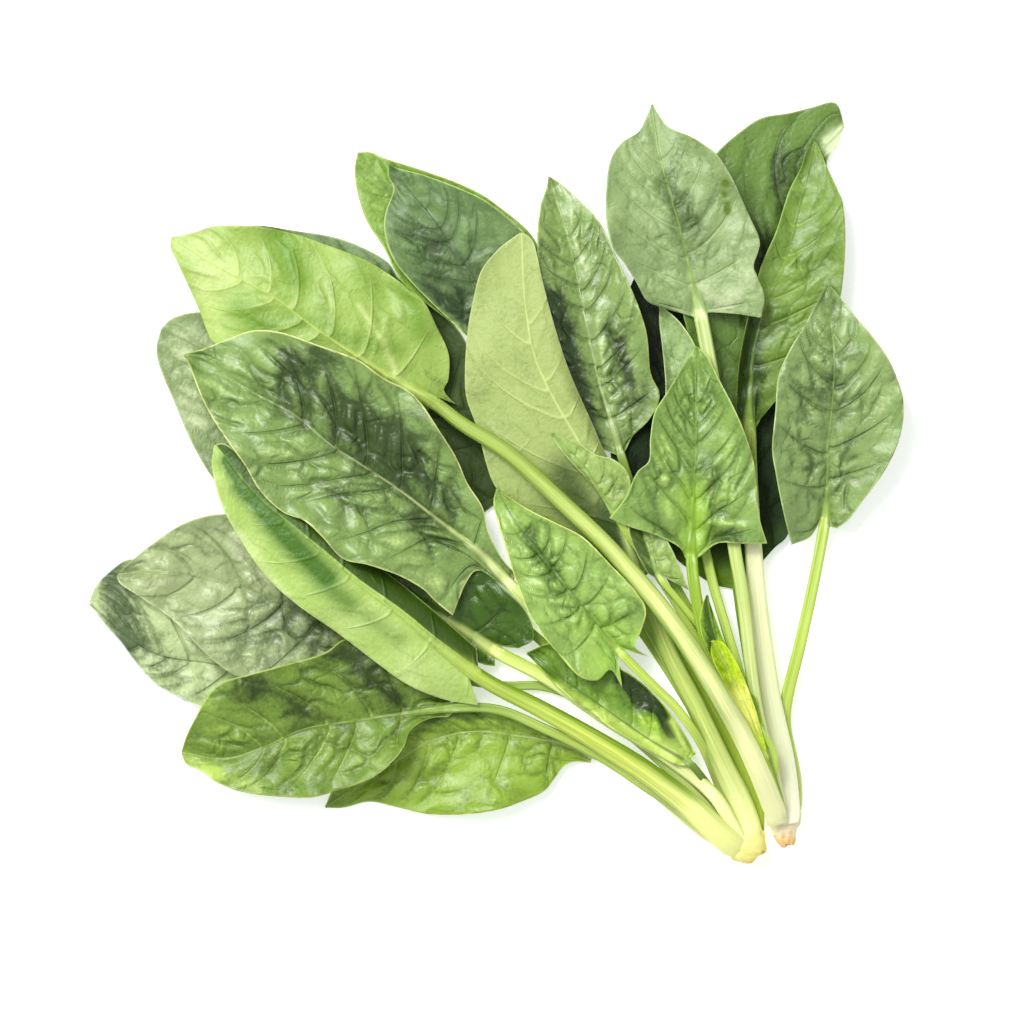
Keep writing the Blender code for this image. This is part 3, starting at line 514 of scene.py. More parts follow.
class Board:
    """Lays out shader nodes in one tree and wires them up."""

    def __init__(self, tree: Tree) -> None:
        """Start on an empty tree."""
        self.tree = tree
        self.placed = 0

    def add(self, kind: str, **settings: object) -> Node:
        """Place a node.

        Args:
            kind: The node's type name.
            settings: Properties to set on it.

        Returns:
            The node.
        """
        node = self.tree.nodes.new(kind)
        row, column = divmod(self.placed, BOARD_COLUMNS)
        node.location = (BOARD_STEP[0] * column, BOARD_STEP[1] * row)
        self.placed += 1
        for name, value in settings.items():
            setattr(node, name, value)
        return node

    def feed(self, socket: Socket, source: Source) -> None:
        """Wire a socket to another, or set its own value.

        Args:
            socket: The socket to feed.
            source: Another socket, a number or a colour.
        """
        if isinstance(source, Socket):
            self.tree.links.new(source, socket)
        else:
            socket.default_value = source

    def math(self, operation: str, *sources: Source, clamp: bool = False) -> Socket:
        """Place a sum on numbers.

        Args:
            operation: Name of the sum.
            sources: What goes in, sockets or numbers.
            clamp: Whether the result stays between 0 and 1.

        Returns:
            The result.
        """
        node = self.add("ShaderNodeMath", operation=operation, use_clamp=clamp)
        for socket, source in zip(node.inputs, sources):
            self.feed(socket, source)
        return node.outputs[0]

    def band(self, value: Source, start: Source, end: Source, low: float, high: float) -> Socket:
        """Place a smooth step from one value to another.

        Args:
            value: What is looked at.
            start: Where the step starts.
            end: Where it ends.
            low: Result before the step.
            high: Result after it.

        Returns:
            The result.
        """
        node = self.add("ShaderNodeMapRange", interpolation_type="SMOOTHSTEP")
        for name, source in zip(
            ("Value", "From Min", "From Max", "To Min", "To Max"), (value, start, end, low, high)
        ):
            self.feed(node.inputs[name], source)
        return node.outputs["Result"]

    def join(self, kind: str, sockets: tuple[int, ...], *sources: Source) -> Socket:
        """Place a mix of two colours or two numbers.

        Args:
            kind: What is mixed.
            sockets: Numbers of the sockets that are fed, then that of the result.
            sources: Share of the second side, the first side and the second side.

        Returns:
            The result.
        """
        node = self.add("ShaderNodeMix", data_type=kind)
        *fed, result = sockets
        for socket, source in zip(fed, sources):
            self.feed(node.inputs[socket], source)
        return node.outputs[result]

    def blend(self, factor: Source, first: Source, second: Source) -> Socket:
        """Place a mix of two colours, the factor being the share of the second."""
        return self.join("RGBA", COLOUR_SOCKETS, factor, first, second)

    def mix(self, factor: Source, first: Source, second: Source) -> Socket:
        """Place a mix of two numbers, the factor being the share of the second."""
        return self.join("FLOAT", NUMBER_SOCKETS, factor, first, second)

    def painted(self, name: str) -> Socket:
        """Read a number painted on the mesh."""
        return self.add("ShaderNodeAttribute", attribute_name=name).outputs["Fac"]

    def place(self, name: str) -> Socket:
        """Read a place painted on the mesh."""
        return self.add("ShaderNodeAttribute", attribute_name=name).outputs["Vector"]

    def noise(self, place: Source, scale: Source, detail: float = 2.0) -> Node:
        """Place a soft noise.

        Args:
            place: Where it is read.
            scale: How many waves it has to a millimetre.
            detail: How many finer layers lie over it.

        Returns:
            The node.
        """
        node = self.add("ShaderNodeTexNoise")
        self.feed(node.inputs["Vector"], place)
        self.feed(node.inputs["Scale"], scale)
        node.inputs["Detail"].default_value = detail
        return node

    def product(self, *sources: Source) -> Socket:
        """Multiply numbers.

        Args:
            sources: Two or more sockets or numbers.

        Returns:
            The product.
        """
        result = sources[0]
        for source in sources[1:]:
            result = self.math("MULTIPLY", result, source)
        return result

    def bump(self, height: Source, strength: float, depth: float) -> Socket:
        """Place a bump.

        Args:
            height: Where it rises.
            strength: Its strength.
            depth: How deep it goes, in millimetres.

        Returns:
            The bent normal.
        """
        node = self.add("ShaderNodeBump")
        node.inputs["Strength"].default_value = strength
        node.inputs["Distance"].default_value = depth * MM
        self.feed(node.inputs["Height"], height)
        return node.outputs[0]

    def group(self, tree: Tree, **values: Source) -> Node:
        """Place a shared effect with values of its own.

        Args:
            tree: The shared effect.
            values: Its inputs, with _ for a space in a name.

        Returns:
            The node.
        """
        node = self.add("ShaderNodeGroup", node_tree=tree)
        for name, source in values.items():
            self.feed(node.inputs[name.replace("_", " ").capitalize()], source)
        return node


# Noises: waves to a millimetre and finer layers.
NET_BEND = 0.22
NET_BEND_REACH = 3.0
PATCH = (0.09, 4.0)
GRAIN = (0.8, 3.0)
FOLD = (0.15, 1.2)
CROWN_SKIN = (0.6, 6.0)
FOLD_TWIST = 0.5
FIBRE_DETAIL = 3.0
STALK_FIBRES = 1.6
CROWN_FIBRES = 1.2
FIBRE_STRETCH = (0.035, 1.0, 1.0)
# Net and side veins: cells and widths in millimetres.
NET_DENSITY = 0.42
NET_WIDTH = 0.1
VEIN_WIDTH = 0.75
# Steps: start and end, then the result before and after.
CELL_SWELL = (0.0, 0.35, 0.0, 1.0)
VEIN_THINS = (0.0, 1.0, 1.25, 0.45)
VEIN_STARTS = (-0.5, -0.4, 0.0, 1.0)
VEIN_FADES_OUTWARDS = (0.55, 0.97, 1.0, 0.0)
VEIN_FADES_TO_TIP = (1.68, 1.92, 1.0, 0.1)
VEIN_BREAKS = (0.35, 0.6, 0.5, 1.0)
FIBRE_STREAK = (0.38, 0.64, 0.0, 1.0)
DARK_PART = (-0.8, 0.1, 1.0, 0.0)
PALE_PART = (0.1, 1.05, 0.0, 1.0)
FOLD_LINE = (0.25, 1.6, 1.0, 0.0)
CREASE_SHADE_LINE = (0.0, 0.025, 1.0, 0.0)
RIDGE_SIDE = (0.0, 0.14, 0.0, 1.0)
RIM_LINE = (0.1, 0.7, 0.65, 0.0)
CROWN_TO_MIDDLE = (0.05, 0.5, 0.0, 1.0)
FLANK_SHADE = (0.25, 0.75, 0.0, 1.0)
FOOT_STAYS_PALE = (0.0, 0.3, 0.1, 1.0)
STALK_TO_RIB = (1.0, 1.12, 0.0, 1.0)
CROWN_LOWER = (0.15, 0.6, 0.0, 1.0)
CROWN_ROOT = (0.62, 0.85, 0.0, 1.0)
# Shares of the small parts in a paint.
PATCH_TONE = 0.9
GRAIN_TONE = 0.7
CREASE_SHADE_SHARE = 0.4
FOLD_SHARE = 0.7
UNEVEN_GLOSS = 0.3
CELL_HEIGHT = 0.07
GRAIN_HEIGHT = 0.11
RIDGE_HEIGHT = 0.7
STREAK_SHARE = 0.25
FIBRE_HEIGHT = 0.3
ROOT_STREAK = 0.22
ROOT_WANDER = 0.5
# Shine of a leaf.
LEAF_SHINE = 0.4
COAT_ROUGHNESS = 0.2
# Bumps: strength, and depth in millimetres.
LEAF_BUMP = (1.0, 1.0)
CROWN_BUMP = (0.7, 0.5)
# The floor: two whites mixed by a fine grain, and the glow that keeps it white.
FLOOR_WHITES = ((252, 252, 253), (254, 254, 254))
FLOOR_GRAIN = 40.0
FLOOR_GRAIN_BAND = (0.3, 0.7, 0.0, 1.0)
FLOOR_ROUGHNESS = 0.9
FLOOR_SHINE = 0.1
FLOOR_GLOW = (0.98, 0.99, 1.0, 1.0)
FLOOR_GLOW_STRENGTH = 0.44


class Effects:
    """The effects that many finishes share, each built once."""

    def __init__(self) -> None:
        """Build every effect."""
        self.net = self.build_net()
        self.side_veins = self.build_side_veins()
        self.fibres = self.build_fibres()
        self.blade = self.build_blade()
        self.stalk = self.build_stalk()

    @staticmethod
    def start(
        name: str, inputs: dict[str, str], outputs: dict[str, str]
    ) -> tuple[Tree, Board, Sockets, Sockets]:
        """Start a shared effect.

        Args:
            name: Its name.
            inputs: Kind of each input, value or colour.
            outputs: Kind of each output.

        Returns:
            The tree, its board, the sockets of its inputs and the sockets of its outputs.
        """
        tree = bpy.data.node_groups.new(name, "ShaderNodeTree")
        for way, sockets in (("INPUT", inputs), ("OUTPUT", outputs)):
            for title, kind in sockets.items():
                tree.interface.new_socket(name=title, in_out=way, socket_type=SOCKET_TYPES[kind])
        board = Board(tree)
        return tree, board, board.add("NodeGroupInput").outputs, board.add("NodeGroupOutput").inputs

    def build_net(self) -> Tree:
        """Build the net of the finest ribs: a mask of its lines and the height of its cells.

        Returns:
            The shared effect.
        """
        tree, board, given, made = self.start(
            "fine_net", kinds((), ("Density", "Width")), kinds((), ("Lines", "Height"))
        )
        place = board.place("leaf_place")
        push = board.add("ShaderNodeVectorMath", operation="SCALE")
        board.feed(push.inputs[0], board.noise(place, NET_BEND).outputs["Color"])
        board.feed(push.inputs["Scale"], NET_BEND_REACH)
        moved = board.add("ShaderNodeVectorMath", operation="ADD")
        board.feed(moved.inputs[0], place)
        board.feed(moved.inputs[1], push.outputs[0])
        cells = board.add("ShaderNodeTexVoronoi", feature="DISTANCE_TO_EDGE")
        board.feed(cells.inputs["Vector"], moved.outputs[0])
        board.feed(cells.inputs["Scale"], given["Density"])
        board.feed(made["Lines"], board.band(cells.outputs[0], 0.0, given["Width"], 1.0, 0.0))
        board.feed(made["Height"], board.band(cells.outputs[0], *CELL_SWELL))
        return tree

    def build_side_veins(self) -> Tree:
        """Build the side veins: a mask of thin lines that fade towards the margin and the tip.

        Returns:
            The shared effect.
        """
        tree, board, given, made = self.start("side_veins", {"Width": "value"}, {"Lines": "value"})
        turn, reach = board.painted("vein_turn"), board.painted("reach")
        off = board.math("ABSOLUTE", board.math("SUBTRACT", turn, board.math("ROUND", turn)))
        gap = board.product(off, board.painted("vein_room"))
        thin = board.product(given["Width"], board.band(reach, *VEIN_THINS))
        fade = board.product(
            board.band(turn, *VEIN_STARTS),
            board.band(reach, *VEIN_FADES_OUTWARDS),
            board.band(board.painted("along"), *VEIN_FADES_TO_TIP),
        )
        board.feed(made["Lines"], board.product(board.band(gap, 0.0, thin, 1.0, 0.0), fade))
        return tree

    def build_fibres(self) -> Tree:
        """Build the long fibres of a stalk: a streak mask and its height.

        Returns:
            The shared effect.
        """
        tree, board, given, made = self.start(
            "stalk_fibres", {"Density": "value"}, kinds((), ("Streaks", "Height"))
        )
        stretch = board.add("ShaderNodeMapping")
        board.feed(stretch.inputs["Vector"], board.place("stalk_place"))
        stretch.inputs["Scale"].default_value = FIBRE_STRETCH
        streaks = board.noise(stretch.outputs[0], given["Density"], FIBRE_DETAIL).outputs[0]
        board.feed(made["Streaks"], board.band(streaks, *FIBRE_STREAK))
        board.feed(made["Height"], streaks)
        return tree

    def build_blade(self) -> Tree:
        """Build the paint of a blade: colour, roughness and the height of its fine relief.

        Returns:
            The shared effect.
        """
        tree, board, given, made = self.start(
            "blade_paint", BLADE_INPUTS, {"Colour": "colour", "Roughness": "value", "Height": "value"}
        )
        place = board.place("leaf_place")
        patch = board.noise(place, *PATCH).outputs[0]
        grain = board.noise(place, *GRAIN).outputs[0]
        pucker = board.product(board.painted("pucker"), given["Wrinkle"])
        ridge = self.ridge(board, place)
        fold = board.band(board.painted("fold"), *FOLD_LINE)
        net = board.group(self.net, density=NET_DENSITY, width=NET_WIDTH).outputs
        veins = board.group(self.side_veins, width=VEIN_WIDTH).outputs["Lines"]
        dark, colour = self.ground(board, given, patch, grain)
        # Wrinkles and folds take the shade colour: painted shade in the creases.
        crease_shade = board.math("MAXIMUM", board.band(ridge, *CREASE_SHADE_LINE), fold)
        crease_shade = board.math("MULTIPLY", crease_shade, board.product(pucker, CREASE_SHADE_SHARE), clamp=True)
        colour = board.blend(crease_shade, colour, given["Shade"])
        light = board.math("SUBTRACT", 1.0, dark)
        colour = board.blend(board.product(net["Lines"], given["Net"], light), colour, given["Vein"])
        broken = board.product(board.band(patch, *VEIN_BREAKS), light)
        colour = board.blend(board.product(veins, given["Side vein"], broken), colour, given["Vein"])
        # The margin takes the rim colour: partly its own paler green, partly a painted highlight on the
        # edge.
        colour = board.blend(board.band(board.painted("edge_gap"), *RIM_LINE), colour, given["Rim"])
        # Spots take their own colour, which on some leaves is a painted shade.
        board.feed(made["Colour"], board.blend(board.painted("spot"), colour, given["Mark"]))
        uneven = board.product(board.math("SUBTRACT", patch, 0.5), UNEVEN_GLOSS)
        board.feed(made["Roughness"], board.math("ADD", given["Roughness"], uneven))
        groove = board.math("MAXIMUM", veins, board.product(fold, FOLD_SHARE))
        grains = board.product(grain, GRAIN_HEIGHT)
        fine = board.math("ADD", board.product(net["Height"], CELL_HEIGHT), grains)
        side = board.product(board.band(ridge, *RIDGE_SIDE), pucker, RIDGE_HEIGHT)
        fine = board.math("ADD", fine, side)
        board.feed(made["Height"], board.math("SUBTRACT", fine, board.product(groove, given["Crease"])))
        return tree

    @staticmethod
    def ground(board: Board, given: Sockets, patch: Source, grain: Source) -> tuple[Socket, Socket]:
        """Mix the ground colour of a blade out of its body, shade and paler colours, with painted light and
        shade.

        Args:
            board: The paint's board.
            given: The sockets of its inputs.
            patch: The broad noise.
            grain: The fine noise.

        Returns:
            How dark each place is, and the colour.
        """
        low = board.math("ADD", board.product(patch, PATCH_TONE), -PATCH_TONE / 2)
        fine = board.product(board.math("SUBTRACT", grain, 0.5), GRAIN_TONE)
        # Swellings are painted paler and the creases between them darker, and the streaks add their tone:
        # painted light and shade.
        swell = board.product(board.painted("dome"), given["Dome tone"])
        touch = board.math("ADD", swell, board.painted("tone"))
        level = board.math("ADD", board.math("ADD", low, fine), touch)
        dark = board.band(level, *DARK_PART)
        colour = board.blend(dark, given["Body"], given["Shade"])
        return dark, board.blend(board.band(level, *PALE_PART), colour, given["Bloom"])

    @staticmethod
    def ridge(board: Board, place: Source) -> Socket:
        """Read how far each place lies from the wandering wrinkles of a blade.

        Args:
            board: The paint's board.
            place: Where the wrinkles are read.

        Returns:
            The distance, 0 on a wrinkle.
        """
        wrinkles = board.noise(place, *FOLD)
        wrinkles.inputs["Distortion"].default_value = FOLD_TWIST
        return board.math("ABSOLUTE", board.math("SUBTRACT", wrinkles.outputs[0], 0.5))

    def build_stalk(self) -> Tree:
        """Build the paint of a stalk: colour and the height of its fibres.

        Returns:
            The shared effect.
        """
        tree, board, given, made = self.start(
            "stalk_paint", STALK_INPUTS, {"Colour": "colour", "Height": "value"}
        )
        along, across = board.painted("along"), board.painted("across")
        colour = board.blend(board.band(along, *CROWN_TO_MIDDLE), given["Crown end"], given["Middle"])
        green = board.band(along, given["Green from"], given["Green to"], 0.0, 1.0)
        colour = board.blend(green, colour, given["Blade end"])
        fibres = board.group(self.fibres, density=STALK_FIBRES).outputs
        hollow = board.product(board.painted("hollow"), given["Grooving"])
        mark = board.math("ADD", board.product(fibres["Streaks"], STREAK_SHARE), hollow)
        # Both flanks take the groove colour as a painted shade on the stalk's sides.
        for title, way in (("Left side", 1.0), ("Right side", -1.0)):
            flank_shade = board.product(board.band(board.product(across, way), *FLANK_SHADE), given[title])
            mark = board.math("ADD", mark, flank_shade, clamp=True)
        grooved = board.product(mark, board.band(along, *FOOT_STAYS_PALE))
        colour = board.blend(grooved, colour, given["Groove"])
        board.feed(made["Colour"], board.blend(board.band(along, *STALK_TO_RIB), colour, given["Rib"]))
        board.feed(made["Height"], board.product(fibres["Height"], FIBRE_HEIGHT))
        return tree


class Dyer:
    """Makes the materials out of the finishes and the shared effects."""

    def __init__(self) -> None:
        """Build the shared effects."""
        self.effects = Effects()

    def start(self, name: str) -> tuple[Material, Board, Node]:
        """Start a material.

        Args:
            name: Its name.

        Returns:
            The material, its board and its shader.
        """
        material = bpy.data.materials.new(name)
        material.use_nodes = True
        board = Board(material.node_tree)
        return material, board, material.node_tree.nodes["Principled BSDF"]

    def leaf(self, name: str, blade: BladeFinish, stalk: StalkFinish) -> Material:
        """Make the material of a leaf.

        Args:
            name: The leaf's name.
            blade: Finish of its blade.
            stalk: Finish of its stalk and midrib.

        Returns:
            The material.
        """
        material, board, shader = self.start(f"skin_of_{name}")
        skin = board.group(self.effects.blade, **finish_values(blade, BLADE_INPUTS))
        stem = board.group(self.effects.stalk, **finish_values(stalk, STALK_INPUTS))
        rib = board.painted("rib")
        paint = board.blend(rib, skin.outputs["Colour"], stem.outputs["Colour"])
        board.feed(shader.inputs["Base Color"], paint)
        board.feed(shader.inputs["Roughness"], skin.outputs["Roughness"])
        shader.inputs["Specular IOR Level"].default_value = LEAF_SHINE
        shader.inputs["Coat Weight"].default_value = blade.gloss
        shader.inputs["Coat Roughness"].default_value = COAT_ROUGHNESS
        height = board.mix(rib, skin.outputs["Height"], stem.outputs["Height"])
        board.feed(shader.inputs["Normal"], board.bump(height, *LEAF_BUMP))
        return material

    def crown(self, name: str, finish: CrownFinish) -> Material:
        """Make the material of a crown.

        Args:
            name: The crown's name.
            finish: Its finish.

        Returns:
            The material.
        """
        material, board, shader = self.start(f"skin_of_{name}")
        along = board.painted("along")
        rough = board.noise(board.place("leaf_place"), *CROWN_SKIN).outputs[0]
        wander = board.product(board.math("SUBTRACT", rough, 0.5), ROOT_WANDER)
        at = board.math("ADD", along, wander)
        colour = board.blend(board.band(at, *CROWN_LOWER), linear(finish.upper), linear(finish.lower))
        colour = board.blend(board.band(at, *CROWN_ROOT), colour, linear(finish.root))
        fibres = board.group(self.effects.fibres, density=CROWN_FIBRES).outputs
        streak = board.product(fibres["Streaks"], ROOT_STREAK)
        board.feed(shader.inputs["Base Color"], board.blend(streak, colour, linear(finish.root)))
        shader.inputs["Roughness"].default_value = finish.roughness
        height = board.math("ADD", rough, fibres["Height"])
        board.feed(shader.inputs["Normal"], board.bump(height, *CROWN_BUMP))
        return material

    def floor(self) -> Material:
        """Make the plain white of the floor.

        Returns:
            The material.
        """
        material, board, shader = self.start("floor_white")
        grain = board.add("ShaderNodeTexNoise")
        grain.inputs["Scale"].default_value = FLOOR_GRAIN
        tint = board.band(grain.outputs[0], *FLOOR_GRAIN_BAND)
        whites = (linear(white) for white in FLOOR_WHITES)
        board.feed(shader.inputs["Base Color"], board.blend(tint, *whites))
        for title, value in (
            ("Roughness", FLOOR_ROUGHNESS),
            ("Specular IOR Level", FLOOR_SHINE),
            ("Emission Color", FLOOR_GLOW),
            ("Emission Strength", FLOOR_GLOW_STRENGTH),
        ):
            shader.inputs[title].default_value = value
        return material


# -- Leaves ------------------------------------------------------------

# A distance that counts as out of reach.
FAR = 9.0
# How near a corner of a node lies to a place whose height it gives.
CORNER_REACH = 0.15
CORNER_SLACK = 0.01
# Rows and columns of the fine grid: the last row, the fewest, the gap along a stalk and the
# extra rows that round its foot.
LAST_ROW = 0.997
LEAST_BLADE_ROWS = 12
LEAST_STALK_ROWS = 8
LEAST_COLUMNS = 6
STALK_ROW_GAP = 2.2
FOOT_ROWS = (0.004, 0.012)
BASE_TAPER = 0.9
# The foot of a stalk: how much of it the crown draws in, how far, and what is left at its end.
PULL_LENGTH = 0.14
PULL_INWARDS = 0.55
PULL_UPWARDS = 0.75
FOOT_LENGTH = 0.03
FOOT_WIDTH = 0.7
FOOT_HEIGHT = 0.35
TUCK_CLEARANCE = 0.2
# Side veins: where they start, how far they stray, how they lean and curve towards the tip.
VEIN_SPAN = 0.84
VEIN_CROWDING = 0.9
FIRST_VEIN = 0.01
VEIN_STRAY = 0.2
LEAN_AT_NECK = 0.25
LEAN_GAIN = 0.55
LEAN_LENGTH = 3.0
LEAN_SPREAD = (0.85, 1.15)
VEIN_CURVE = 1.25
WIDEST_ROOM = 40.0
BACK_EDGE_REACH = 0.12
# Unevenness of a blade: lengths of its waves.
WANDER_WAVE = 14.0
PUCKER_WAVE = 20.0
SMALL_WAVE = 9.0
ROLL_WAVE = 30.0
RUFFLE_WAVE = 15.0
# Cells of the quilting: their count for each side vein, their wandering and their room.
CELLS_TO_VEIN = 1.25
WANDER_ALONG = 0.12
WANDER_ACROSS = 0.2
ROOM_RANGE = (0.6, 2.0)
# Swellings: how wide their slopes are, how round, and how they flatten to the margin.
SLOPE_WIDTH = 0.26
SLOPE_POWER = 1.4
CELL_STEEPNESS = 1.3
RIB_SHOULDER = 0.1
MARGIN_FLATTENS = 0.55
SWELL_HEIGHT = 1.25
PUCKER_MEAN = 0.55
PUCKER_SPREAD = 0.6
PUCKER_MOST = 1.8
SMALL_HEIGHT = 0.55
SMALL_FLATTENS = 0.4
# Grooves along the side veins, the cell edges and the midrib.
VEIN_GROOVE = 1.2
GROOVE_REACH = 1.15
GROOVE_TIP = 0.3
GROOVE_LEAST = 0.2
CELL_GROOVE = 0.9
CELL_GROOVE_SHARE = 0.7
RIB_GROOVE = 3.0
RIB_GROOVE_DEPTH = (0.4, 0.6)
ROLL_AT_RIB = (0.2, 0.8)
# How the undulation, the ruffle and the wrinkles change from midrib to margin.
ROLL_POWER = 1.5
RUFFLE_POWER = 4
PUCKER_POWER = 6
SWELL_POWER = 5
# Ends of the relief: where it fades out at the tip and in at the neck.
TIP_FADE = 0.04
NECK_FADE = 0.03
NECK_LEAST = 0.1
# Folds between the swellings, and where the midrib smooths them out.
FOLD_GAIN = 1.4
FOLD_FROM = 0.9
SMOOTH_RIB = 6.0
SMOOTH_RIB_WIDTH = 1.6
# Cross-sections of stalk and midrib: waves of the flutes in half a turn, shoulders, channel,
# how the midrib rounds off, and how its proud and its plain side fade towards the tip.
FLUTE_WAVES = 3
SHOULDER_SHARE = 0.3
CHANNEL_DEPTH = 0.6
CHANNEL_WIDTH = 0.45
RIB_ROUNDNESS = (0.5, 1.3, 5)
PROUD_FADE = 3
PROUD_LEAST = 0.12
PLAIN_FADE = 8
PLAIN_LEAST = 0.06
PLAIN_HOLLOW = 0.3
# Settling: the air left between leaves, and how widely a lift is spread and smoothed.
AIR = 0.12
SETTLE_ROUNDS = 4
LIFT_SPREADS = 3
LIFT_BLURS = 8
RISE_BLURS = 2
FOOT_STAYS = 0.08
TUCK_STAYS = 0.8
NECK_EASE = 0.15
BETWEEN_ROWS = (0.33, 0.67)
# Midrib colour: how far it shows, how fast it weakens, and the smooth strip beside it.
RIB_SHOW_WIDTH = 1.05
RIB_SHOW_POWER = 2.5
RIB_WEAKENS = 8
SMOOTH_STRIP = (0.8, 1.4)
# Steps between leaves in the seeds and the textures, so that no two are alike.
SEED_STEP = 7
PATTERNS = 1000
BLADE_STEP = 7.3
STALK_STEP = 3.1
# Values painted on the whole of a stalk.
STALK_VALUES = {
    "reach": 0.0, "edge_gap": FAR, "vein_turn": -2.0, "vein_room": 1.0, "dome": 0.0, "fold": FAR,
    "tone": 0.0, "spot": 0.0, "pucker": 0.0, "rib": 1.0,
}


def grow(least: float, share: Grid) -> Grid:
    """Grow from a least size to the whole by a share."""
    return least + (1 - least) * share


@dataclass(frozen=True)
class Gaps:
    """How far each point of a blade lies from its cell's edges, its side veins and its midrib."""

    cell: Grid
    vein: Grid
    rib: Grid


@dataclass(frozen=True)
class Streak:
    """A soft touch on a leaf between two places.

    tone makes it paler or darker: painted highlights, sheen and shade on most leaves, and the leaf's
    own paler and darker greens on a few. lift raises it or presses it in, spot dyes it with the colour
    of spots and patches, real patches and holes on some leaves and a painted shade on others, and
    pucker wrinkles it.
    """

    start: Vec
    end: Vec
    width: float
    tone: float = 0.0
    lift: float = 0.0
    spot: float = 0.0
    pucker: float = 0.0

    def reach(self, at: Grid) -> Grid:
        """Weigh places by how near they are.

        Args:
            at: Places on the drawing board.

        Returns:
            1 on the streak, fading to 0 around it.
        """
        start, end = np.array(self.start), np.array(self.end)
        line = end - start
        share = np.clip(((at - start) @ line) / max(line @ line, TINY), 0.0, 1.0)
        gap = np.linalg.norm(at - (start + share[..., None] * line), axis=-1)
        return bell(gap, self.width)


class Terrain:
    """The tops of everything laid so far, on a grid of square cells."""

    def __init__(self, cell: float = 1.0, half: float = 160.0, share: float = 0.25) -> None:
        """Start with the bare floor.

        Args:
            cell: Side of a cell.
            half: Half the side of the whole grid.
            share: Share that the cells around have in a cell's top.
        """
        self.cell = cell
        self.half = half
        self.share = share
        size = int(2 * half / cell)
        self.tops = np.zeros((size, size))

    def cells(self, points: Grid) -> tuple[Grid, Grid]:
        """Find the cell of each point.

        Args:
            points: Places in the bunch's frame.

        Returns:
            The column and the row of each.
        """
        at = ((points[..., :2] + self.half) / self.cell).astype(int)
        at = np.clip(at, 0, len(self.tops) - 1)
        return at[..., 0], at[..., 1]

    def under(self, points: Grid) -> Grid:
        """Read the highest top in and around the cell of each point.

        Args:
            points: Places in the bunch's frame.

        Returns:
            One height for each.
        """
        wide = np.pad(self.tops, 1, mode="edge")
        size = len(self.tops)
        around = [wide[x : x + size, y : y + size] for x in range(3) for y in range(3)]
        eased = [(1 - self.share) * self.tops + self.share * piece for piece in around]
        return np.max([self.tops, *eased], axis=0)[self.cells(points)]

    def cover(self, points: Grid) -> None:
        """Raise the tops to the points."""
        x, y = self.cells(points)
        np.maximum.at(self.tops, (x.ravel(), y.ravel()), points[..., 2].ravel())


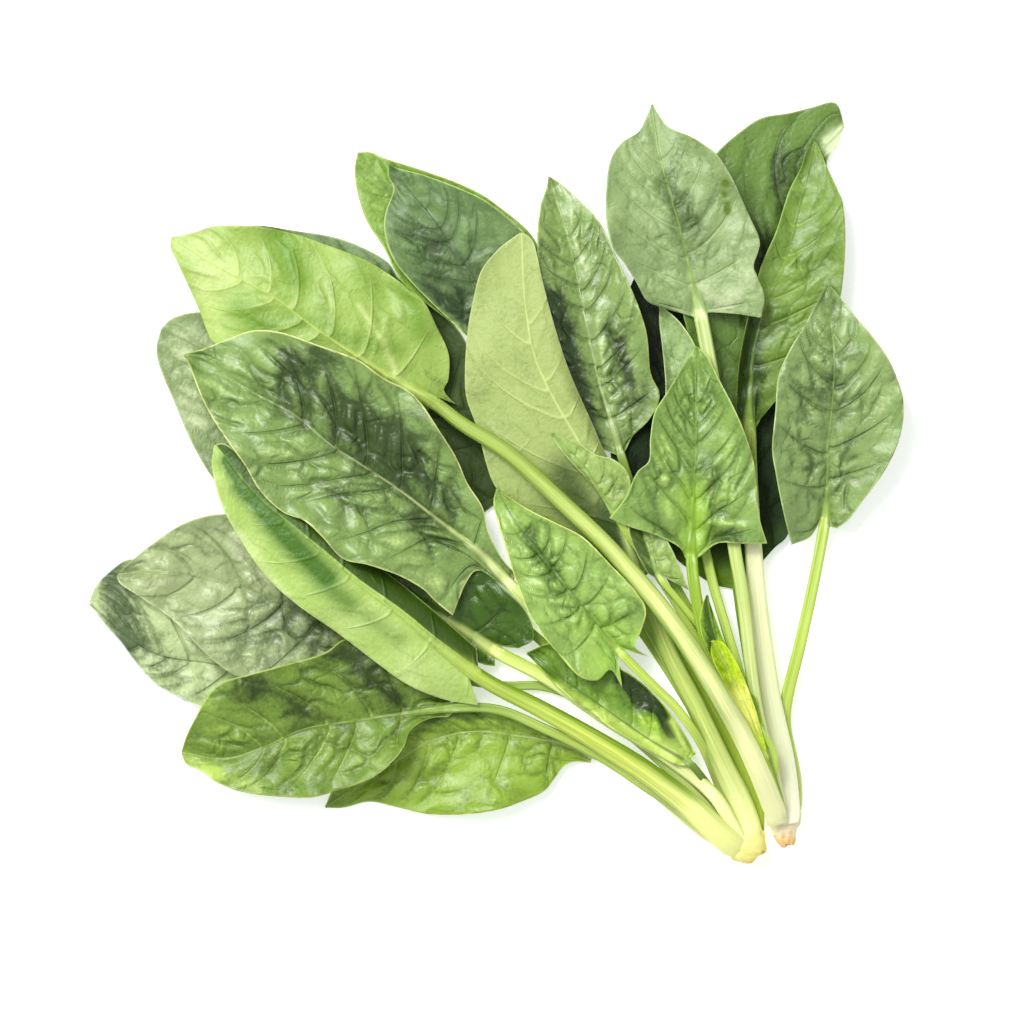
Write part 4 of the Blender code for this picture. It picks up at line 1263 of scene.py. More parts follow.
@dataclass
class Leaf:
    """One leaf, blade and stalk together, grown from the curves of its outline.

    Curves run from the crown to the tip. quilt is how far the blade swells between its veins,
    quilt_size how wide each swelling is, roll its slow undulation and ruffle that of its margin.
    veins is how many side veins each side has, vein_lift how deep they lie, flutes how deep the
    stalk is fluted. grain is the gap between points, half_columns how many columns half a stalk
    has, skin half the blade's thickness. The rib fields say how wide the midrib ends, how fast it
    narrows, how strongly it shows and how much it fades. base_swell widens the stalk's foot, tuck
    is the stretch where the stalk dips under its neighbours and perch lifts its foot above them.
    """

    name: str
    slot: str
    plant: Plant
    stalk_height: float
    stalk: Curve
    rib: Curve
    left: Curve
    right: Curve
    blade_finish: BladeFinish
    stalk_finish: StalkFinish
    face: Face = Face.UPPER
    base_width: float = 3.2
    neck_width: float = 3.0
    left_heel: Curve = ()
    right_heel: Curve = ()
    quilt: float = 0.6
    quilt_size: float = 7.0
    roll: float = 0.7
    ruffle: float = 0.5
    veins: int = 7
    vein_lift: float = 0.3
    flutes: float = 0.16
    streaks: tuple[Streak, ...] = ()
    grain: float = 0.85
    skin: float = 0.24
    half_columns: int = 6
    rib_end: float = 0.24
    rib_power: float = 11.0
    rib_strength: float = 0.85
    rib_fade: float = 0.4
    # Tone of each whole side: painted light and shade.
    left_tone: float = 0.0
    right_tone: float = 0.0
    base_swell: float = 1.0
    tuck: Vec = (0.0, 0.0)
    perch: float = 0.0

    def __post_init__(self) -> None:
        """Draw the middle line and start the leaf's own random numbers."""
        line = dense_curve(self.stalk + self.rib)
        neck = (len(self.stalk) - 1) * SPLINE_STEPS
        self.stalk_line, self.blade_line = line[: neck + 1], line[neck:]
        self.rng = np.random.default_rng(sum(ord(letter) * SEED_STEP for letter in self.name))

    def hands(self) -> tuple[tuple[int, Curve, Curve], ...]:
        """List each side: its sign, margin curve and heel curve."""
        return (1, self.left, self.left_heel), (-1, self.right, self.right_heel)

    def stalk_width(self, share: Grid) -> Grid:
        """Measure the stalk's width at shares of its length."""
        return self.base_width + (self.neck_width - self.base_width) * share

    def rib_half_width(self, share: Grid) -> Grid:
        """Measure half the midrib's width at shares of the blade's length."""
        return (self.neck_width + (RIB_TIP_WIDTH - self.neck_width) * np.sqrt(share)) / 2

    def rib_show(self) -> Grid:
        """Measure half the width at which the midrib shows, row by row."""
        swell = (self.neck_width / 2 - self.rib_end) * (1 - self.shares) ** self.rib_power
        return self.rib_end + swell

    def rib_gap(self) -> Grid:
        """Measure how far each point of the blade lies from the middle line.

        Returns:
            The gaps, in the blade's own rows and columns.
        """
        half = self.rib_half_width(self.shares)[:, None]
        gap = self.blade["gap"] + half
        gap[:, self.core_at] = np.abs(self.block_columns()) * half
        return gap

    # -- heights, read from the node's solid ---------------------------

    def node_heights(self, node: Thing) -> tuple[Grid, dict[int, Grid]]:
        """Read the heights of the leaf's middle surface from its node.

        Args:
            node: The leaf's node.

        Returns:
            Heights along the stalk, and for each hand those of the blade by station and column.
        """
        corners = np.array([tuple(v.co) for v in node.data.vertices]) / MM
        along = np.linspace(0, 1, NODE_STALK_STATIONS)
        shares = np.linspace(0.0, 1.0, NODE_BLADE_STATIONS + 1)
        stalk = resample(self.stalk_line, along)[:-1]
        middle = np.vstack([stalk, resample(self.blade_line, shares)])
        halves = np.concatenate([self.stalk_width(along[:-1]) / 2, self.rib_half_width(shares)])
        normals = side_normals(middle)
        sides = [middle + hand * normals * halves[:, None] for hand in (1, -1)]
        centre = sum(self.middle_height(corners, side[:-1]) for side in sides) / 2
        first = NODE_STALK_STATIONS - 1
        out = np.linspace(0.0, 1.0, NODE_WING_COLUMNS + 1)
        tip = np.repeat(self.middle_height(corners, middle[-1:]), len(out))
        wings = {}
        for (hand, edge, heel), side in zip(self.hands(), sides):
            rows = self.wing_spots(edge, heel, side[first:], shares, out)[:-1]
            heights = np.array([self.middle_height(corners, spots) for spots in rows])
            heights[:, 0] = centre[first:]
            wings[hand] = np.vstack([heights, tip])
        return centre[: first + 1], wings

    def wing_spots(self, edge: Curve, heel: Curve, shoulder: Grid, shares: Grid, out: Grid) -> Grid:
        """Place the points of one side of the blade.

        Args:
            edge: Its margin curve.
            heel: Its heel curve.
            shoulder: Where each row leaves the midrib.
            shares: Places of the rows along the blade.
            out: Places of the columns from midrib to margin.

        Returns:
            The points in rows and columns.
        """
        margin = self.margin(edge, shares)
        bow = self.bow(shoulder[0], heel + edge[:1], margin[0], out)
        plan = shoulder[:, None] + out[None, :, None] * (margin - shoulder)[:, None]
        return plan + bow[None] * ((1 - shares) ** HEEL_FADE)[:, None, None]

    def margin(self, edge: Curve, shares: Grid) -> Grid:
        """Read a margin curve, which ends at the tip, at shares of its length."""
        return resample(dense_curve(edge + self.rib[-1:]), shares)

    @staticmethod
    def middle_height(corners: Grid, spots: Grid) -> Grid:
        """Read the height halfway between a solid's upper and lower skin.

        Args:
            corners: The solid's corners.
            spots: Places on the drawing board.

        Returns:
            One height for each place.
        """
        heights = []
        for spot in spots + BOARD_SHIFT:
            gap = np.hypot(*(corners[:, :2] - spot).T)
            near = corners[gap < max(CORNER_REACH, gap.min() + CORNER_SLACK), 2]
            heights.append((near.max() + near.min()) / 2)
        return np.array(heights)

    @staticmethod
    def bow(shoulder: Grid, heel: Curve, margin: Grid, out: Grid) -> Grid:
        """Measure how the blade's back edge bends away from a straight line.

        Args:
            shoulder: Where the back edge leaves the midrib.
            heel: The back edge's own points, up to the margin.
            margin: Where it meets the margin.
            out: Shares of the way out.

        Returns:
            The bend at each share.
        """
        back = resample(dense_curve((tuple(shoulder),) + heel), out)
        return back - (np.outer(1 - out, shoulder) + np.outer(out, margin))

    # -- the fine grids ------------------------------------------------

    def block_columns(self) -> Grid:
        """Place the columns over the stalk, 1 at its left side and -1 at its right."""
        return np.sin(np.linspace(math.pi / 2, -math.pi / 2, 2 * self.half_columns + 1))

    def lay(self, node: Thing) -> None:
        """Lay the fine grid of points and their values over the node's surface.

        Args:
            node: The leaf's node.
        """
        stalk_heights, wing_heights = self.node_heights(node)
        self.place_rows()
        middle = np.vstack(
            [resample(self.stalk_line, self.stalk_shares), resample(self.blade_line, self.shares)]
        )
        swell = 1 + (self.base_swell - 1) * (1 - self.stalk_shares) ** BASE_TAPER
        width = self.stalk_width(self.stalk_shares) * swell
        halves = np.concatenate([width / 2, self.rib_half_width(self.shares)])
        t = self.block_columns()
        block = middle[:, None] + side_normals(middle)[:, None] * (halves[:, None] * t)[..., None]
        count = len(self.stalk_shares)
        self.stalk_plan, core = block[:count], block[count:]
        self.stalk_z = np.repeat(smooth_read(stalk_heights, self.stalk_shares)[:, None], len(t), 1)
        self.gather()
        sides = {}
        for hand, edge, heel in self.hands():
            shoulder = core[:, 0] if hand > 0 else core[:, -1]
            sides[hand] = self.lay_wing(edge, heel, shoulder, wing_heights[hand])
        centre = smooth_read(wing_heights[1][:, 0], self.shares)
        self.join(sides, core, centre)

    def place_rows(self) -> None:
        """Place the rows of the fine grid along the stalk and the blade."""
        length = arc_length(self.blade_line)[-1]
        self.shares = np.linspace(0.0, LAST_ROW, max(LEAST_BLADE_ROWS, round(length / self.grain)))
        length = arc_length(self.stalk_line)[-1]
        rows = max(LEAST_STALK_ROWS, round(length / STALK_ROW_GAP))
        self.stalk_shares = np.union1d(np.linspace(0.0, 1.0, rows + 1)[:-1], FOOT_ROWS)

    def join(self, sides: dict[int, dict[str, Grid]], core: Grid, centre: Grid) -> None:
        """Join both sides of the blade and the strip over the midrib into one grid.

        Args:
            sides: The values of each side.
            core: The points over the midrib.
            centre: Their heights, row by row.
        """
        t = self.block_columns()
        blank = np.zeros(core.shape[:2])
        strip = {
            "plan": core,
            "z": np.repeat(centre[:, None], len(t), 1),
            "reach": blank,
            "gap": blank,
            "edge_gap": blank + FAR,
        }
        for key in ("vein_turn", "vein_room"):
            strip[key] = np.where(t >= 0, sides[1][key][:, :1], sides[-1][key][:, :1])
        self.blade = {
            key: np.concatenate([sides[1][key][:, ::-1], strip[key], sides[-1][key]], axis=1)
            for key in strip
        }
        start = sides[1]["reach"].shape[1]
        self.core_at = slice(start, start + len(t))

    def gather(self) -> None:
        """Draw the foot of the stalk into its crown and tuck its lower part under its neighbours."""
        front, heading = CROWN_AXES[self.plant]
        foot = np.array(front) + FOOT_DEPTH * np.array(heading)
        pull = np.clip(1 - self.stalk_shares / PULL_LENGTH, 0, 1) ** 2
        centre = self.stalk_plan.mean(axis=1, keepdims=True)
        close = grow(FOOT_WIDTH, np.sqrt(np.clip(self.stalk_shares / FOOT_LENGTH, 0, 1)))
        self.stalk_plan = centre + (self.stalk_plan - centre) * close[:, None, None]
        self.stalk_plan = self.stalk_plan + PULL_INWARDS * pull[:, None, None] * (foot - centre)
        self.stalk_z = self.stalk_z + (PULL_UPWARDS * pull * (CROWN_RISE - self.stalk_z[:, 0]))[:, None]
        self.stalk_z = self.stalk_z + self.perch * pull[:, None]
        start, stop = self.tuck
        if stop:
            low = np.clip((stop - self.stalk_shares) / (stop - start), 0, 1)[:, None]
            low = low * low * (3 - 2 * low)
            self.stalk_z = self.stalk_z * (1 - low) + (self.stalk_height / 2 + TUCK_CLEARANCE) * low

    def lay_wing(self, edge: Curve, heel: Curve, shoulder: Grid, heights: Grid) -> dict[str, Grid]:
        """Lay one side of the blade.

        Args:
            edge: Its margin curve.
            heel: Its heel curve.
            shoulder: Where each row leaves the midrib.
            heights: Heights of the node by station and column.

        Returns:
            Plan, heights and measures of each point, from the midrib out to the margin.
        """
        margin = self.margin(edge, self.shares)
        width = np.linalg.norm(margin - shoulder, axis=1)
        columns = max(LEAST_COLUMNS, round(width.max() / self.grain))
        out = np.linspace(0.0, 1.0, columns + 1)[1:]
        plan = self.wing_spots(edge, heel, shoulder, self.shares, out)
        to_margin = np.linalg.norm(plan - margin[:, None], axis=2)
        to_back = np.linalg.norm(plan - plan[:1], axis=2)
        reach = np.repeat(out[None], len(self.shares), 0)
        turn = self.vein_turns(reach, width)
        return {
            "plan": plan,
            "z": smooth_read(smooth_read(heights, self.shares).T, out).T,
            "reach": reach,
            "gap": np.linalg.norm(plan - shoulder[:, None], axis=2),
            "edge_gap": np.minimum(to_margin, np.where(reach > BACK_EDGE_REACH, to_back, FAR)),
            "vein_turn": turn,
            "vein_room": np.minimum(1 / np.maximum(slope(plan, turn), TINY), WIDEST_ROOM),
        }

    def vein_turns(self, reach: Grid, width: Grid) -> Grid:
        """Count the side veins passed at each point, whole numbers being on a vein.

        Args:
            reach: Share of the way from midrib to margin.
            width: Width of this side of the blade, row by row.

        Returns:
            The count, from below 0 behind the first vein.
        """
        start = VEIN_SPAN * (np.arange(self.veins) / self.veins) ** VEIN_CROWDING + FIRST_VEIN
        start[1:] += self.rng.uniform(-VEIN_STRAY, VEIN_STRAY, self.veins - 1) / self.veins
        start = np.sort(start)
        wide = np.interp(start, self.shares, width) / arc_length(self.blade_line)[-1]
        lean = LEAN_AT_NECK + LEAN_GAIN * np.minimum(1.0, start * LEAN_LENGTH)
        advance = wide * lean * self.rng.uniform(*LEAN_SPREAD, self.veins)
        step = start[1] - start[0]
        starts = np.concatenate([[start[0] - step], start, [start[-1] + step, start[-1] + 2 * step]])
        advances = np.concatenate([[0.0], advance, advance[-1:], advance[-1:]])
        count = np.arange(-1, self.veins + 2)
        turns = np.zeros_like(reach)
        for column in range(reach.shape[1]):
            lines = starts + advances * reach[0, column] ** VEIN_CURVE
            turns[:, column] = np.interp(self.shares, np.maximum.accumulate(lines), count)
        return turns

    # -- the relief of the blade ---------------------------------------

    def shape_relief(self) -> None:
        """Give the blade its swellings, veins, undulation and ruffled margin."""
        blade, reach = self.blade, self.blade["reach"]
        a, b = self.own_axes()
        self.place = stack_places(a, b, BLADE_STEP * len(self.name))
        gaps = self.find_veins(a, b)
        dome = self.swellings(gaps)
        uneven = PUCKER_MEAN + PUCKER_SPREAD * ripples(a, b, PUCKER_WAVE, self.rng)
        for streak in self.streaks:
            uneven += streak.pucker * streak.reach(blade["plan"])
        uneven = np.clip(uneven, 0.0, PUCKER_MOST)
        relief = self.face.value * self.quilt * SWELL_HEIGHT * dome * uneven
        small = SMALL_HEIGHT * self.quilt * ripples(a, b, SMALL_WAVE, self.rng)
        relief += small * (1 - SMALL_FLATTENS * reach)
        relief -= self.grooves(gaps, uneven)
        at_rib, gain = ROLL_AT_RIB
        relief += self.roll * ripples(a, b, ROLL_WAVE, self.rng) * (at_rib + gain * reach**ROLL_POWER)
        relief += self.ruffle * reach**RUFFLE_POWER * ripples(a, b, RUFFLE_WAVE, self.rng)
        self.touch(relief)
        taper = np.clip((1 - self.shares) / TIP_FADE, 0, 1)[:, None]
        lead = grow(NECK_LEAST, np.clip(self.shares / NECK_FADE, 0, 1)[:, None])
        blade["z"] = blade["z"] + relief * taper * lead
        near_rib = bell(self.rib_gap(), SMOOTH_RIB_WIDTH + self.rib_show()[:, None])
        flat = FOLD_GAIN * np.clip(FOLD_FROM - uneven, 0.0, 1.0)
        blade["fold"] = gaps.cell + flat + SMOOTH_RIB * near_rib
        blade["dome"] = np.clip(2 * dome, -1, 1)
        blade["pucker"] = uneven * self.quilt * (1 - reach**PUCKER_POWER)

    def own_axes(self) -> tuple[Grid, Grid]:
        """Measure each point along and across the blade.

        Returns:
            The distances along it and those across it.
        """
        heading = self.blade_line[-1] - self.blade_line[0]
        heading = heading / np.linalg.norm(heading)
        from_neck = self.blade["plan"] - self.blade_line[0]
        return from_neck @ heading, from_neck @ np.array([-heading[1], heading[0]])

    def find_veins(self, a: Grid, b: Grid) -> Gaps:
        """Measure how far each point lies from the veins of each kind.

        Args:
            a: Distances along the blade.
            b: Distances across it.

        Returns:
            The distances.
        """
        turn, room, size = self.blade["vein_turn"], self.blade["vein_room"], self.quilt_size
        seed = int(self.rng.integers(PATTERNS))
        wander = ripples(a, b, WANDER_WAVE, self.rng)
        from_rib = np.maximum(self.rib_gap() - self.rib_show()[:, None], 0.0)
        ladder = cell_edges(
            turn * CELLS_TO_VEIN + WANDER_ALONG * wander, from_rib / size + WANDER_ACROSS * wander, seed
        )
        least, most = ROOM_RANGE
        cell = ladder * np.sqrt(np.clip(room, least * size, most * size) * size)
        vein = np.where(turn < -0.5, FAR, np.abs(turn - np.round(turn)) * room)
        return Gaps(cell, vein, from_rib)

    def swellings(self, gaps: Gaps) -> Grid:
        """Shape the swellings between the veins.

        Args:
            gaps: How far each point lies from the veins.

        Returns:
            Heights between -0.5 and 0.5.
        """
        away = np.minimum(np.minimum(CELL_STEEPNESS * gaps.cell, gaps.vein), gaps.rib + RIB_SHOULDER)
        dome = 1 - np.exp(-((away / (SLOPE_WIDTH * self.quilt_size)) ** SLOPE_POWER))
        return (dome - 0.5) * (1 - MARGIN_FLATTENS * self.blade["reach"] ** SWELL_POWER)

    def grooves(self, gaps: Gaps, uneven: Grid) -> Grid:
        """Shape the grooves along the side veins, the cell edges and the midrib.

        Args:
            gaps: How far each point lies from the veins.
            uneven: How puckered each place is.

        Returns:
            How deep they are, below 0 where they stand up as they do on an underside.
        """
        reach, lift = self.blade["reach"], self.face.value * self.vein_lift
        tip = np.clip((1 - self.shares) / GROOVE_TIP, GROOVE_LEAST, 1)[:, None]
        deep = lift * bell(gaps.vein, VEIN_GROOVE) * np.clip(GROOVE_REACH - reach, 0.0, 1.0) * tip
        deep += CELL_GROOVE_SHARE * lift * bell(gaps.cell, CELL_GROOVE) * (1 - reach**2) * uneven
        if self.face is Face.UPPER:
            plain, quilted = RIB_GROOVE_DEPTH
            deep += (plain + quilted * self.quilt) * bell(gaps.rib, RIB_GROOVE)
        return deep

    def touch(self, relief: Grid) -> None:
        """Touch up the blade with its streaks and the tone of each side, mostly painted light and shade.

        Args:
            relief: Its relief, which the streaks lift and press.
        """
        tone, spot = np.zeros_like(relief), np.zeros_like(relief)
        for streak in self.streaks:
            near = streak.reach(self.blade["plan"])
            relief += streak.lift * near
            tone += streak.tone * near
            spot = np.maximum(spot, streak.spot * near)
        # Each side's tone makes the whole side paler or darker: painted light and shade.
        tone[:, : self.core_at.start] += self.left_tone
        tone[:, self.core_at.stop :] += self.right_tone
        self.blade["tone"], self.blade["spot"] = tone, spot

    # -- cross-sections, and the leaf's rest on what lies below --------

    def stalk_profile(self) -> tuple[Grid, Grid]:
        """Shape the cross-section of the stalk: how far each skin stands from the middle.

        Returns:
            The distances of the upper and of the lower skin.
        """
        t, share = self.block_columns()[None, :], self.stalk_shares[:, None]
        half = self.stalk_height / 2
        shoulder = half * SHOULDER_SHARE * (1 - share) + self.skin * share
        round_top = np.sqrt(np.maximum(0.0, 1 - t**2))
        ribs = self.flutes * np.cos(FLUTE_WAVES * math.pi * t)
        full = shoulder + (half - shoulder) * round_top * (1 + ribs)
        full = full * grow(FOOT_HEIGHT, np.sqrt(np.clip(share / FOOT_LENGTH, 0, 1)))
        if self.face is Face.UPPER:
            return full - CHANNEL_DEPTH * half * share * bell(t, CHANNEL_WIDTH), full
        return full, full

    def rib_profile(self) -> tuple[Grid, Grid]:
        """Shape the cross-section of the midrib: how far each skin stands from the middle.

        Returns:
            The distances of the upper and of the lower skin.
        """
        share = self.shares[:, None]
        inside = np.minimum(1.0, self.rib_gap()[:, self.core_at] / self.rib_show()[:, None])
        at_neck, gain, pace = RIB_ROUNDNESS
        rise = np.maximum(0.0, 1 - inside**2) ** (at_neck + gain * np.minimum(1.0, pace * share))
        thick = self.stalk_height / 2 - self.skin
        proud = self.skin + thick * (1 - share) ** PROUD_FADE * rise + PROUD_LEAST * rise
        hollow = (1 - share) ** PLAIN_FADE * rise * grow(PLAIN_HOLLOW, inside)
        plain = self.skin + thick * hollow + PLAIN_LEAST * rise
        return (plain, proud) if self.face is Face.UPPER else (proud, plain)

    def settle(self, terrain: Terrain) -> None:
        """Lift the leaf clear of what it lies on, smoothly, then add it to the terrain.

        Args:
            terrain: What has been laid so far.
        """
        stalk_top, stalk_low = self.stalk_profile()
        shape = self.blade["z"].shape
        top, low = np.full(shape, self.skin), np.full(shape, self.skin)
        top[:, self.core_at], low[:, self.core_at] = self.rib_profile()
        blade_floor = terrain.under(self.blade["plan"] + BOARD_SHIFT) + AIR
        stalk_floor = terrain.under(self.stalk_plan + BOARD_SHIFT) + AIR
        for _ in range(SETTLE_ROUNDS):
            lift = self.blade_lift(blade_floor - (self.blade["z"] - low))
            self.blade["z"] = self.blade["z"] + lift
            need = (stalk_floor - (self.stalk_z - stalk_low)).max(axis=1)
            rise = self.stalk_rise(need, lift[0, self.core_at].max())
            self.stalk_z = self.stalk_z + rise[:, None]
        neck = self.blade["z"][0, self.core_at.start] - self.stalk_z[-1, 0]
        ease = np.clip(1 - (1 - self.stalk_shares) / NECK_EASE, 0, 1)[:, None] ** 2
        self.stalk_z = self.stalk_z + neck * ease
        self.blade_top, self.blade_low = self.blade["z"] + top, self.blade["z"] - low
        self.stalk_top, self.stalk_low = self.stalk_z + stalk_top, self.stalk_z - stalk_low
        terrain.cover(self.placed(self.blade["plan"], self.blade_top))
        stalk = self.placed(self.stalk_plan, self.stalk_top)
        terrain.cover(stalk)
        for share in BETWEEN_ROWS:
            terrain.cover(stalk[:-1] * (1 - share) + stalk[1:] * share)

    def blade_lift(self, need: Grid) -> Grid:
        """Spread the lift that a blade needs, so that it bends softly.

        Args:
            need: How far each point has to rise.

        Returns:
            How far each point rises.
        """
        lift = np.maximum(need, 0.0)
        for _ in range(LIFT_SPREADS):
            lift = np.max([lift, *neighbours(lift)], axis=0)
        for _ in range(LIFT_BLURS):
            around = neighbours(lift)
            lift = (lift + sum(around)) / (1 + len(around))
        lift[:, self.core_at] = lift[:, self.core_at].max(axis=1, keepdims=True)
        return lift

    def stalk_rise(self, need: Grid, neck: float) -> Grid:
        """Spread the lift that a stalk needs, its foot staying where it is.

        Args:
            need: How far each row has to rise.
            neck: How far the blade rises at the neck.

        Returns:
            How far each row rises.
        """
        foot = max(FOOT_STAYS, TUCK_STAYS * self.tuck[1])
        rise = np.where(self.stalk_shares < foot, 0.0, np.maximum(need, 0.0))
        rise[-1] = max(rise[-1], neck)
        for _ in range(RISE_BLURS):
            wide = np.pad(rise, 1, mode="edge")
            rise = np.maximum(rise, np.maximum(wide[:-2], wide[2:]))
            wide = np.pad(rise, 1, mode="edge")
            rise = (wide[:-2] + wide[2:] + rise) / 3
        return rise

    @staticmethod
    def placed(plan: Grid, z: Grid) -> Grid:
        """Move plan points into the bunch's frame and add their heights."""
        return np.concatenate([plan + BOARD_SHIFT, z[..., None]], axis=-1)

    # -- the mesh ------------------------------------------------------

    def blade_values(self) -> dict[str, Grid]:
        """Gather the values painted on the blade.

        Returns:
            Numbers for each name.
        """
        shares, gap, show = self.shares[:, None], self.rib_gap(), self.rib_show()[:, None]
        near = np.exp(-((gap / (RIB_SHOW_WIDTH * show)) ** RIB_SHOW_POWER))
        weaker = (1 - self.rib_strength) * np.minimum(1, shares * RIB_WEAKENS)
        beside, wider = SMOOTH_STRIP
        values = {name: self.blade[name] for name in STALK_VALUES if name in self.blade}
        values["pucker"] = values["pucker"] * (1 - bell(gap, beside + wider * show))
        values["rib"] = np.maximum(near * (1 - weaker - self.rib_fade * shares), 0.0)
        return {"along": 1 + shares} | values | {"hollow": 0.0, "across": 0.0}

    def stalk_values(self) -> dict[str, Grid]:
        """Gather the values painted on the stalk.

        Returns:
            Numbers for each name.
        """
        t = self.block_columns()
        hollow = 0.5 - 0.5 * np.cos(FLUTE_WAVES * math.pi * t)
        return {"along": self.stalk_shares[:, None]} | STALK_VALUES | {"hollow": hollow, "across": t}

    def fibre_places(self) -> tuple[Grid, Grid]:
        """Place the fibres' texture.

        Returns:
            The places over the stalk and those over the blade.
        """
        across = self.block_columns() * (self.base_width / 2)
        stalk_length = arc_length(self.stalk_line)[-1]
        step = STALK_STEP * len(self.name)
        stalk = stack_places(self.stalk_shares[:, None] * stalk_length, across[None], step)
        blade_across = np.zeros(self.blade["z"].shape)
        blade_across[:, self.core_at] = across
        blade_along = stalk_length + self.shares[:, None] * arc_length(self.blade_line)[-1]
        return stalk, stack_places(blade_along, blade_across, step)

    def build(self, dyer: Dyer) -> Thing:
        """Make the leaf's mesh and dress it.

        Args:
            dyer: Makes its material.

        Returns:
            The finished piece.
        """
        cloth = MeshCloth()
        on_stalk, on_blade = self.fibre_places()
        layers = []
        for blade_z, stalk_z, flip in (
            (self.blade_top, self.stalk_top, False),
            (self.blade_low, self.stalk_low, True),
        ):
            stalk = cloth.add_points(
                self.placed(self.stalk_plan, stalk_z),
                self.stalk_values(),
                {"leaf_place": on_stalk, "stalk_place": on_stalk},
            )
            blade = cloth.add_points(
                self.placed(self.blade["plan"], blade_z),
                self.blade_values(),
                {"leaf_place": self.place, "stalk_place": on_blade},
            )
            rows = np.vstack([stalk, blade[:1, self.core_at]])
            cloth.skin(rows, flip)
            cloth.skin(blade, flip)
            layers.append((rows, blade))
        self.close(cloth, *layers)
        material = dyer.leaf(self.name, self.blade_finish, self.stalk_finish)
        return cloth.make(f"{self.name}_skin", material)

    def close(self, cloth: MeshCloth, top: tuple, low: tuple) -> None:
        """Close the leaf along its margins, back edges, stalk sides and both ends.

        Args:
            cloth: Takes the faces.
            top: Numbers of the upper skin's points, stalk and blade.
            low: Those of the lower skin.
        """
        (stalk_top, blade_top), (stalk_low, blade_low) = top, low
        cloth.skin(np.stack([stalk_top[:, 0], stalk_low[:, 0]]))
        cloth.skin(np.stack([stalk_top[:, -1], stalk_low[:, -1]]), flip=True)
        cloth.skin(np.stack([stalk_top[0], stalk_low[0]]), flip=True)
        cloth.skin(np.stack([blade_top[:, 0], blade_low[:, 0]]))
        cloth.skin(np.stack([blade_top[:, -1], blade_low[:, -1]]), flip=True)
        cloth.skin(np.stack([blade_top[-1], blade_low[-1]]))
        start, stop = self.core_at.start, self.core_at.stop
        for part in (slice(0, start + 1), slice(stop - 1, None)):
            cloth.skin(np.stack([blade_top[0, part], blade_low[0, part]]), flip=True)


# -- Crowns ------------------------------------------------------------

# Lobes of a crown: how round they are, how soon they fade and how far they twist.
LOBE_POWER = 0.7
LOBE_FADE = 0.8
LOBE_TWIST = 0.5
LOBE_SINK = 0.6
# Its raggedness: where the unevenness is read, its waves and its size.
SKIN_RADIUS = 6
SKIN_STRETCH = 1.3
SKIN_WAVE = 4.0
SKIN_ROUGH = 0.1
SKIN_ROUGH_AT_STALKS = 0.3
END_WAVE = 5.0
LOWEST = 0.05
# The dished ends: their rings, their innermost size and how rough they are.
DISH_RINGS = 9
DISH_EYE = 0.02
DISH_ROUGH = 0.25
DISH_SEED = 5
FIBRE_LENGTH = 12


@dataclass(frozen=True)
class CrownRing:
    """One ring of a crown: how far along it lies, its half width, half height and side step."""

    distance: float
    half_width: float
    half_height: float
    side: float = 0.0


